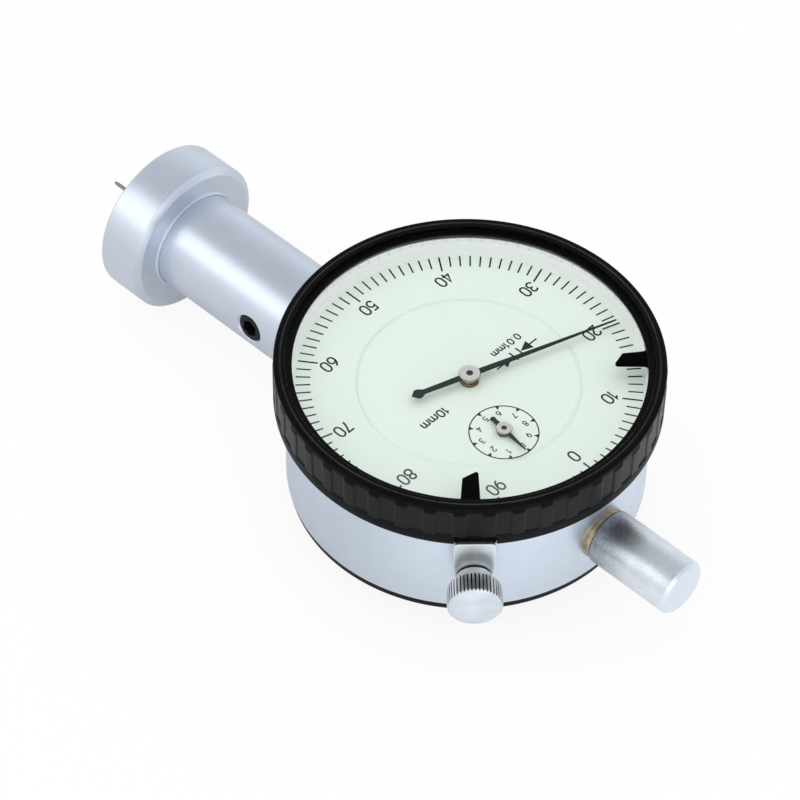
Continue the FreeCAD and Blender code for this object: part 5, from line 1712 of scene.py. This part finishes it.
@dataclass(frozen=True)
class StrokeFont:
    """Plain narrow lettering for scales, drawn as strokes one unit high."""

    width: float = 0.52
    gap: float = 0.2
    wide: float = 0.84

    def arc(self, centre: tuple[float, float], radii: tuple[float, float], start: float,
            end: float, steps: int = 12) -> list[tuple[float, float]]:
        """Give the points of an arc, with angles in degrees.

        Args:
            centre: The arc's middle.
            radii: Its radii along x and y.
            start: The angle that it starts at.
            end: The angle that it ends at.
            steps: How many short lines stand for it.

        Returns:
            The points.
        """
        points = []
        for i in range(steps + 1):
            a = math.radians(start + (end - start) * i / steps)
            points.append((centre[0] + radii[0] * math.cos(a),
                           centre[1] + radii[1] * math.sin(a)))
        return points

    def strokes(self, letter: str) -> list[list[tuple[float, float]]]:
        """Give the strokes of one letter.

        Args:
            letter: A digit, a point or the letter m.

        Returns:
            The strokes, each a list of points.
        """
        w = self.width
        mid = w / 2
        if letter == "0":
            return [self.arc((mid, 0.68), (mid, 0.32), 0, 180)
                    + self.arc((mid, 0.32), (mid, 0.32), 180, 360) + [(w, 0.68)]]
        if letter == "1":
            return [[(0.08, 0.76), (0.2, 0.82), (0.32, 1.0), (0.32, 0)]]
        if letter == "2":
            return [self.arc((mid, 0.72), (mid, 0.28), 170, -25)
                    + [(0.34, 0.4), (0.08, 0.14), (0, 0), (w, 0)]]
        if letter == "3":
            return [self.arc((mid, 0.76), (mid - 0.03, 0.24), 160, -90)
                    + self.arc((mid, 0.27), (mid, 0.27), 80, -165)]
        if letter == "4":
            return [[(0.4, 0), (0.4, 1.0), (0, 0.28), (0.56, 0.28)]]
        if letter == "5":
            return [[(w - 0.04, 1.0), (0.1, 1.0), (0.04, 0.52)]
                    + self.arc((mid, 0.33), (mid, 0.33), 130, -160)]
        if letter == "6":
            return [self.arc((w, 0.36), (w, 0.64), 112, 180)
                    + self.arc((mid, 0.32), (mid, 0.32), 180, 540, 20)]
        if letter == "7":
            return [[(0, 1.0), (w, 1.0), (0.34, 0.62), (0.2, 0.3), (0.16, 0)]]
        if letter == "8":
            return [self.arc((mid, 0.77), (mid - 0.03, 0.23), 0, 360, 20),
                    self.arc((mid, 0.27), (mid, 0.27), 0, 360, 20)]
        if letter == "9":
            return [[(w - x, 1 - y) for x, y in self.strokes("6")[0]]]
        if letter == ".":
            return [[(0.06, 0.0), (0.06, 0.07)]]
        hump = self.wide / 4
        return [[(0, 0), (0, 0.72)],
                self.arc((hump, 0.72 - hump), (hump, hump), 175, 0) + [(2 * hump, 0)],
                self.arc((3 * hump, 0.72 - hump), (hump, hump), 175, 0) + [(4 * hump, 0)]]

    def extent(self, letter: str) -> float:
        """Give the width of one letter."""
        return {".": 0.1, "m": self.wide, "1": 0.36}.get(letter, self.width)

    def line(self, text: str) -> tuple[list[list[tuple[float, float]]], float]:
        """Set a line of text.

        Args:
            text: The text.

        Returns:
            Its strokes from x = 0, and its width.
        """
        strokes: list[list[tuple[float, float]]] = []
        x = 0.0
        for letter in text:
            strokes += [[(x + px, py) for px, py in stroke] for stroke in self.strokes(letter)]
            x += self.extent(letter) + self.gap
        return strokes, x - self.gap


@dataclass(frozen=True)
class Label:
    """A line of print: its words, middle and height, and the width of its strokes."""

    words: str
    centre: tuple[float, float]
    height: float
    weight: float


class Printing:
    """Ink laid on the dial as thin solid strokes."""

    THICKNESS = 0.02
    SUNK = 0.005

    def __init__(self, level: float) -> None:
        """Start an empty sheet.

        Args:
            level: The height of the printed face.
        """
        self.level = level
        self.mesh = bmesh.new()

    def patch(self, outline: Outline) -> None:
        """Print a filled convex shape.

        Args:
            outline: Its corners.
        """
        low = self.level - self.SUNK
        bottom = [self.mesh.verts.new((x, y, low)) for x, y in outline]
        top = [self.mesh.verts.new((x, y, self.level + self.THICKNESS)) for x, y in outline]
        self.mesh.faces.new(bottom)
        self.mesh.faces.new(top)
        for i in range(len(outline)):
            j = (i + 1) % len(outline)
            self.mesh.faces.new((bottom[i], bottom[j], top[j], top[i]))

    def stroke(self, points: Outline, width: float) -> None:
        """Print a line of even width through some points.

        Args:
            points: The points of its middle; the last repeats the first in a closed line.
            width: The width.
        """
        closed = (Vector(points[0]) - Vector(points[-1])).length < TINY
        path = [Vector(p) for p in (points[:-1] if closed else points)]
        count = len(path)
        left, right = [], []
        for i, here in enumerate(path):
            before = path[i - 1] if closed or i else None
            after = path[(i + 1) % count] if closed or i < count - 1 else None
            into = (here - before).normalized() if before is not None else None
            out = (after - here).normalized() if after is not None else None
            along = (into or out) + (out or into)
            if along.length < TINY:
                along = out
            along.normalize()
            normal = Vector((-along.y, along.x))
            lean = normal.dot(Vector((-(out or into).y, (out or into).x)))
            reach = width / 2 / max(lean, 0.5)
            left.append(here + normal * reach)
            right.append(here - normal * reach)
        low, high = self.level - self.SUNK, self.level + self.THICKNESS
        corners = [[self.mesh.verts.new((p.x, p.y, z)) for p in side]
                   for side, z in ((left, low), (right, low), (right, high), (left, high))]
        for i in range(count if closed else count - 1):
            j = (i + 1) % count
            for k in range(4):
                a, b = corners[k], corners[(k + 1) % 4]
                self.mesh.faces.new((a[i], b[i], b[j], a[j]))
        if not closed:
            self.mesh.faces.new([c[0] for c in corners])
            self.mesh.faces.new([c[-1] for c in reversed(corners)])

    def text(self, font: StrokeFont, label: Label) -> None:
        """Print a line of text round its centre.

        Args:
            font: The lettering.
            label: The line.
        """
        strokes, length = font.line(label.words)
        x0, y0 = label.centre
        for stroke in strokes:
            placed = [(x0 + (x - length / 2) * label.height, y0 + (y - 0.5) * label.height)
                      for x, y in stroke]
            self.stroke(placed, label.weight)

    def lift(self, name: str, place: Matrix) -> Piece:
        """Turn the sheet into an object.

        Args:
            name: The object's name.
            place: The matrix of the dial's axes.

        Returns:
            The object.
        """
        return Forge.finish_mesh(name, self.mesh, place)


@dataclass
class DialFace:
    """The two dial plates with everything printed on them."""

    shop: Workshop
    split_r: float = 16.3
    split_gap: float = 0.02
    split_slope: float = 0.24
    split_bevel: float = 0.42
    split_depth: float = 0.3
    main_hole_r: float = 1.38
    small_hole_r: float = 0.98
    ring_turn: float = 0.62
    tick_outer: float = 25.12
    minor_inner: float = 23.0
    major_inner: float = 22.2
    minor_width: float = 0.24
    major_width: float = 0.27
    numeral_r: float = 20.45
    numeral_height: float = 1.95
    numeral_weight: float = 0.28
    small_ring_r: float = 5.0
    small_ring_width: float = 0.18
    small_mark_half: float = 0.34
    small_mark_length: float = 0.7
    small_numeral_r: float = 3.55
    small_numeral_height: float = 0.95
    small_numeral_weight: float = 0.15
    mark_level: float = 1.4
    mark_lines: tuple[float, float] = (-9.35, -8.0)
    mark_line_half: float = 0.95
    mark_line_width: float = 0.26
    mark_arrows: tuple[tuple[float, float, float], ...] = (
        (-9.5, -12.9, -11.4), (-7.6, -4.4, -5.8))
    mark_arrow_half: float = 0.85
    mark_tail_width: float = 0.24
    labels: tuple[Label, ...] = (
        Label("0.01mm", (-8.85, -0.9), 1.12, 0.22), Label("10mm", (8.7, 1.38), 1.35, 0.25))
    plate_thickness: float = 0.4
    foot_r: float = 0.8
    foot_spot: tuple[float, float] = (9.0, -5.0)
    hole_steps: int = 64
    font: StrokeFont = field(default_factory=StrokeFont)
    wide_font: StrokeFont = StrokeFont(width=0.58, gap=0.29, wide=0.9)

    def build(self) -> None:
        """Make the plates and their printing."""
        place = self.shop.datum.place(Spin.DIAL)
        self.shop.fit(self.outer_plate(place), Finish.MINT, "bezel_unit", "dial_ring")
        self.shop.fit(self.middle_plate(place), Finish.MINT, "case", "dial_centre")
        self.shop.fit(self.main_scale(place), Finish.INK, "bezel_unit")
        self.shop.fit(self.small_scale(place), Finish.INK, "case")

    def outer_plate(self, place: Matrix) -> Piece:
        """Turn the outer plate, which moves with the bezel.

        Args:
            place: The matrix of the dial's axes.

        Returns:
            The plate.
        """
        low, high = extent("dial_ring")
        outer = (high.x - low.x) / 2
        corners = [Corner(self.split_r, low.z), Corner(outer, low.z), Corner(outer, high.z),
                   Corner(self.split_r + self.split_slope, high.z, 0.06),
                   Corner(self.split_r, high.z - self.split_depth)]
        return Forge.turned("dial_outer_plate", corners, place)

    def middle_plate(self, place: Matrix) -> Piece:
        """Turn the fixed middle plate, with its two feet and arbor holes.

        Args:
            place: The matrix of the dial's axes.

        Returns:
            The plate.
        """
        low, high = extent("dial_centre")
        r = self.split_r - self.split_gap
        under = high.z - self.plate_thickness
        plate = Forge.turned("dial_middle_plate", [
            Corner(0, under), Corner(r, under), Corner(r, high.z - self.split_depth),
            Corner(r - self.split_bevel, high.z, 0.1), Corner(0, high.z)], place)
        datum = self.shop.datum
        holes = [(0.0, datum.dial_y, self.main_hole_r),
                 (datum.small_x, datum.small_y, self.small_hole_r)]
        cutters = [Forge.rod("hole", hole_r, under - 1, high.z + 1,
                             Matrix.Translation((x, y, 0)), self.hole_steps)
                   for x, y, hole_r in holes]
        Forge.carve(plate, cutters)
        foot_x, foot_y = self.foot_spot
        feet = [Forge.rod("foot", self.foot_r, low.z, under + 0.1,
                          place @ Matrix.Translation((side * foot_x, side * foot_y, 0)))
                for side in (1, -1)]
        return Forge.joined("dial_middle", [plate, *feet])

    def radial(self, sheet: Printing, centre: tuple[float, float], azimuth: float,
               inner: float, outer: float, width: float) -> None:
        """Print a line that points at a centre, at an azimuth from twelve o'clock.

        Args:
            sheet: The sheet to print on.
            centre: The point that it runs towards.
            azimuth: Its angle from twelve o'clock, in degrees.
            inner: Where it starts, as a distance from the centre.
            outer: Where it ends, as a distance from the centre.
            width: Its width.
        """
        a = math.radians(azimuth)
        points = [(centre[0] - r * math.sin(a), centre[1] + r * math.cos(a))
                  for r in (inner, outer)]
        sheet.stroke(points, width)

    def main_scale(self, place: Matrix) -> Piece:
        """Print the hundred divisions and their numbers, which run counter-clockwise.

        Args:
            place: The matrix of the dial's axes.

        Returns:
            The printing.
        """
        sheet = Printing(self.shop.datum.dial_z)
        for i in range(100):
            major = i % 10 == 0
            inner = self.major_inner if major else self.minor_inner
            width = self.major_width if major else self.minor_width
            self.radial(sheet, (0, 0), 3.6 * i - self.ring_turn, inner, self.tick_outer, width)
        for i in range(10):
            a = math.radians(36 * i - self.ring_turn)
            centre = (-self.numeral_r * math.sin(a), self.numeral_r * math.cos(a))
            sheet.text(self.font, Label(str(10 * i), centre, self.numeral_height,
                                        self.numeral_weight))
        return sheet.lift("main_scale", place)

    def small_scale(self, place: Matrix) -> Piece:
        """Print the turn counter's scale and the two unit marks.

        Args:
            place: The matrix of the dial's axes.

        Returns:
            The printing.
        """
        datum = self.shop.datum
        sheet = Printing(datum.dial_z)
        middle = (datum.small_x, datum.small_y - datum.dial_y)
        circle = [(middle[0] + self.small_ring_r * math.cos(math.radians(4 * i)),
                   middle[1] + self.small_ring_r * math.sin(math.radians(4 * i)))
                  for i in range(91)]
        sheet.stroke(circle, self.small_ring_width)
        for i in range(10):
            a = math.radians(36 * i)
            across = Vector((math.cos(a), -math.sin(a)))
            out = Vector((math.sin(a), math.cos(a)))
            base = Vector(middle) + out * self.small_ring_r
            tip = base - out * self.small_mark_length
            half = across * self.small_mark_half
            sheet.patch([tuple(base - half), tuple(base + half), tuple(tip)])
            spot = Vector(middle) + out * self.small_numeral_r
            sheet.text(self.font, Label(str(i), tuple(spot), self.small_numeral_height,
                                        self.small_numeral_weight))
        self.graduation_mark(sheet)
        for label in self.labels:
            sheet.text(self.wide_font, label)
        return sheet.lift("counter_scale", place)

    def graduation_mark(self, sheet: Printing) -> None:
        """Print two lines with an arrow from either side: the width of one division.

        Args:
            sheet: The sheet to print on.
        """
        level, half = self.mark_level, self.mark_arrow_half
        for x in self.mark_lines:
            sheet.stroke([(x, level - self.mark_line_half), (x, level + self.mark_line_half)],
                         self.mark_line_width)
        for tip, tail, back in self.mark_arrows:
            sheet.stroke([(tail, level), (back, level)], self.mark_tail_width)
            sheet.patch([(back, level - half), (tip, level), (back, level + half)])


@dataclass(frozen=True)
class Pointer:
    """One hand: its names, its axis, where it points and its sizes.

    The azimuth runs counter-clockwise from twelve o'clock, in degrees.
    """

    name: str
    node: str
    body: str
    spin: Spin
    azimuth: float
    tip: float
    tail: float
    root_width: float
    tip_width: float
    spade_width: float
    bore: float


@dataclass
class Hands:
    """Both hands with their caps and bosses."""

    shop: Workshop
    pointers: tuple[Pointer, ...] = (
        Pointer("long_hand", "main_hand", "main_hand_unit", Spin.DIAL, 70.8, 24.4, 9.4,
                1.0, 0.22, 1.65, 0.5),
        Pointer("short_hand", "small_hand", "small_hand_unit", Spin.SMALL_DIAL, -8.0, 4.9, 2.9,
                0.8, 0.15, 0.85, 0.4),
    )
    edge_rise: float = 0.8
    point_length: float = 0.1
    soft: float = 0.025

    def build(self) -> None:
        """Make the two sets of hand, cap and boss."""
        for hand in self.pointers:
            self.shop.fit(self.pointer(hand), Finish.HAND_BLACK, hand.body, hand.node)
        for hand in self.pointers:
            cap_node, boss_node = hand.node + "_cap", hand.node + "_boss"
            place = self.shop.datum.place(hand.spin)
            cap = self.shop.fit(self.cap(cap_node, place, hand.bore), Finish.HUB_NICKEL,
                                hand.body, cap_node)
            # Painted shade: faces that lean away from the dial's normal get the darker nickel.
            self.shop.dress(cap, Finish.HUB_EDGE,
                            lambda centre, normal: normal.z < self.edge_rise)
            self.shop.fit(self.boss(boss_node, place, hand.bore), Finish.HUB_BRASS, hand.body,
                          boss_node)

    def pointer(self, hand: Pointer) -> Piece:
        """Cut a tapered hand with a spade tail.

        Args:
            hand: The hand's sizes.

        Returns:
            The hand.
        """
        root, end, spade = hand.root_width / 2, hand.tip_width / 2, hand.spade_width / 2
        tip, tail = hand.tip, hand.tail
        eye = 1.6 * hand.bore
        lean = math.asin(min(root / eye, 0.95))
        right = [(eye * math.cos(a), eye * math.sin(a)) for a in
                 (math.pi / 2 - lean - (math.pi - 2 * lean) * i / 8 for i in range(9))]
        left = [(-x, y) for x, y in reversed(right)]
        shoulder = tip - self.point_length
        outline = [
            *right, (0.85 * root, -0.78 * tail), (spade, -0.86 * tail),
            (spade, -0.92 * tail), (0, -tail), (-spade, -0.92 * tail),
            (-spade, -0.86 * tail), (-0.85 * root, -0.78 * tail), *left,
            (-end, shoulder), (0, tip), (end, shoulder),
        ]
        low, high = extent(hand.node)
        place = self.shop.datum.place(hand.spin)
        spot = place @ Matrix.Rotation(math.radians(hand.azimuth), 4, "Z")
        blade = Forge.prism(hand.name, outline, low.z, high.z, spot, self.soft)
        Forge.carve(blade, [Forge.rod("hole", hand.bore, low.z - 1, high.z + 1, place)])
        return blade

    def cap(self, node: str, place: Matrix, bore: float) -> Piece:
        """Turn the nickel cap on a hand.

        Args:
            node: The node it stands for, which gives its sizes.
            place: The matrix of the arbor's axis.
            bore: The radius of its hole.

        Returns:
            The cap.
        """
        low, high = extent(node)
        r = (high.x - low.x) / 2
        h = high.z - low.z
        corners = [
            Corner(bore, low.z), Corner(r - 0.05, low.z, 0.03), Corner(r, low.z + h / 3, 0.04),
            Corner(r, low.z + 2 * h / 3, 0.06), Corner(r - h / 3, high.z, 0.06),
            Corner(bore, high.z, 0.06),
        ]
        return Forge.turned(node.replace("hand", "hub"), corners, place, SMALL_STEPS)

    def boss(self, node: str, place: Matrix, bore: float) -> Piece:
        """Turn the brass boss under a hand, with its waist.

        Args:
            node: The node it stands for, which gives its sizes.
            place: The matrix of the arbor's axis.
            bore: The radius of its hole.

        Returns:
            The boss.
        """
        low, high = extent(node)
        r = (high.x - low.x) / 2
        third = (high.z - low.z) / 3
        waist = 0.24 * r
        corners = [
            Corner(bore, low.z), Corner(r, low.z, 0.04), Corner(r, low.z + third, 0.03),
            Corner(r - waist, low.z + third), Corner(r - waist, high.z - third),
            Corner(r, high.z - third, 0.03), Corner(r, high.z), Corner(bore, high.z),
        ]
        return Forge.turned(node.replace("hand", "hub"), corners, place, SMALL_STEPS)


@dataclass
class Movement:
    """The pieces inside the case, which keep their shapes from the frame."""

    shop: Workshop

    def build(self) -> None:
        """Give every inner node its finish."""
        finishes = {
            Finish.GROUND_STEEL: ("stem", "spindle", "guide_pin", "guide_rail", "rack_arbor",
                                  "lower_plate_screws", "upper_plate_screws",
                                  "spring_post"),
            # The arbors are darkened as painted shade in the hub caps' bores.
            Finish.ARBOR_STEEL: ("centre_arbor", "take_up_arbor"),
            Finish.SPRING_WIRE: ("bezel_wire", "return_spring", "hairspring"),
            Finish.PLATE_BRASS: ("stem_bush", "rack_wheel", "take_up_wheel", "lower_plate",
                                 "upper_plate", "plate_pillars", "pinion_cock",
                                 "hairspring_stud", "dial_retainer"),
            Finish.BEARING_STONE: ("jewels",),
        }
        for finish, nodes in finishes.items():
            for node in nodes:
                self.shop.paint(frame["nodes"][node], finish)
                LOG.info("%s keeps its shape, finish %s", node, finish.value.name)


@dataclass(frozen=True)
class Softbox:
    """A flat lamp, with the direction that it hangs in and its sizes in millimetres."""

    name: str
    towards: tuple[float, float, float]
    distance: float
    width: float
    height: float
    radiance: float

    @property
    def watts(self) -> float:
        """Give the power that makes its face as bright as its radiance says."""
        return self.radiance * math.pi * self.width * self.height * MM ** 2


@dataclass
class Studio:
    """The floor, the light and the camera."""

    datum: Datum
    eye: tuple[float, float, float] = (235.6, 271.6, 358.3)
    aim: tuple[float, float, float] = (9.7, 61.1, 11.9)
    roll: float = 0.94
    lens: float = 145.3
    floor_gap: float = 0.05
    floor_size: float = 3000.0
    low_light: float = 0.1
    high_light: float = 1.43
    horizon: tuple[float, float, float] = (0.86, 0.89, 0.93)
    ceiling: tuple[float, float, float] = (0.56, 0.58, 0.61)
    ceiling_rise: tuple[float, float] = (0.15, 0.8)
    daylight: tuple[float, float, float] = (0.985, 0.99, 1.0)
    paper: tuple[tuple[float, float, float], ...] = ((0.91, 0.92, 0.93), (0.93, 0.94, 0.95))
    paper_scale: float = 0.8
    # Strength of the floor's glow in reflections, far to near along +Y: it paints brighter and
    # darker reflections on the metal.
    near_floor: float = 1.0
    far_floor: float = 0.54
    floor_fade: tuple[float, float] = (60.0, 95.0)
    floor_shade: float = 0.5
    shadow_share: float = 0.1
    softboxes: tuple[Softbox, ...] = (
        Softbox("left_softbox", (0.62, -0.52, 0.58), 700, 440, 400, 0.9),
        Softbox("near_softbox", (0.42, 0.85, 0.3), 700, 480, 340, 1.15),
    )

    def build(self) -> None:
        """Set up the floor, the world, the lamps and the camera."""
        self.floor()
        self.world()
        for softbox in self.softboxes:
            self.hang(softbox)
        self.camera()
        bpy.context.scene.view_settings.view_transform = "Standard"

    def floor(self) -> None:
        """Lay a pale floor that takes the gauge's shadow; glossy rays see it half as a glow that
        brightens towards +Y, a painted reflection on the metal.
        """
        level = min(extent(node)[0].z for node in frame["nodes"]) - self.floor_gap
        half = self.floor_size / 2
        floor = Forge.prism("floor", [(-half, -half), (half, -half), (half, half),
                                      (-half, half)], level - 1, level,
                            Matrix.Translation((0, self.datum.dial_y, 0)))
        bench = NodeBench("floor_paper")
        grain = bench.noise(bench.millimetres(), self.paper_scale)
        bench.set(Base_Color=bench.blend(grain, *self.paper), Roughness=0.8)
        along = bench.add("SeparateXYZ", {0: bench.millimetres()}).outputs[1]
        # Painted reflection: the glow that glossy rays see grows from far_floor to near_floor
        # along +Y.
        lit = bench.span(along, self.far_floor, self.near_floor, *self.floor_fade)
        mirrored = bench.add("Emission", {"Color": (0.98, 0.99, 1, 1), "Strength": lit})
        white = bench.add("Emission", {"Color": (1, 1, 1, 1), "Strength": 1.0})
        seen, glossy = bench.rays()
        kept = bench.mixed(self.shadow_share, white, bench.shader)
        shaded = bench.mixed(self.floor_shade, mirrored, bench.shader)
        first = bench.mixed(glossy, bench.shader, shaded)
        bench.surface(bench.mixed(seen, first, kept))
        floor.data.materials.append(bench.material)

    def world(self) -> None:
        """Make a white surround with a greyer ceiling for the metal to reflect."""
        world = bpy.data.worlds.new("surround")
        bpy.context.scene.world = world
        world.use_nodes = True
        world.node_tree.nodes.clear()
        bench = Bench(world.node_tree)
        point = bench.add("TexCoord").outputs["Generated"]
        height = bench.add("SeparateXYZ", {0: point}).outputs[2]
        tones = bench.blend(height, self.horizon, self.ceiling, *self.ceiling_rise)
        mirrored = bench.add("Background", {0: tones})
        light = bench.span(height, self.low_light, self.high_light, 0.0, 1.0)
        plain = bench.add("Background", {0: (*self.daylight, 1), 1: light})
        white = bench.add("Background", {0: (1, 1, 1, 1)})
        seen, glossy = bench.rays()
        first = bench.mixed(glossy, plain, mirrored)
        bench.add("OutputWorld", {0: bench.mixed(seen, first, white).outputs[0]})

    def hang(self, softbox: Softbox) -> None:
        """Hang a softbox so that it faces the dial.

        Args:
            softbox: The softbox.
        """
        data = bpy.data.lights.new(softbox.name, "AREA")
        data.shape = "RECTANGLE"
        data.size = softbox.width * MM
        data.size_y = softbox.height * MM
        data.energy = softbox.watts
        lamp = bpy.data.objects.new(softbox.name, data)
        target = Vector((0, self.datum.dial_y * MM, 0))
        away = Vector(softbox.towards).normalized()
        lamp.location = target + away * softbox.distance * MM
        lamp.rotation_euler = away.to_track_quat("Z", "Y").to_euler()
        bpy.context.scene.collection.objects.link(lamp)

    def camera(self) -> None:
        """Set the camera at the photograph's viewing angle, for a square frame."""
        data = bpy.data.cameras.new("camera")
        data.lens = self.lens
        data.sensor_width = 36.0
        data.sensor_fit = "HORIZONTAL"
        data.clip_start = 0.05
        data.clip_end = 10.0
        camera = bpy.data.objects.new("camera", data)
        eye = Vector(self.eye) * MM
        forward = (Vector(self.aim) * MM - eye).normalized()
        level = forward.to_track_quat("-Z", "Y").to_matrix().to_4x4()
        roll = Matrix.Rotation(math.radians(self.roll), 4, "Z")
        camera.matrix_world = Matrix.Translation(eye) @ level @ roll
        bpy.context.scene.collection.objects.link(camera)
        bpy.context.scene.camera = camera


def main() -> None:
    """Build the sub-assemblies in order."""
    logging.basicConfig(level=logging.INFO, format="%(name)s: %(message)s")
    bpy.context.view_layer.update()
    datum = Datum.from_frame()
    shop = Workshop(datum)
    for assembly in (MeasuringBase, CaseShell, BezelGroup, BezelClamp, DialFace, Hands,
                     Movement):
        LOG.info("building %s", assembly.__name__)
        assembly(shop).build()
    Studio(datum).build()


if __name__ == "__main__":
    main()
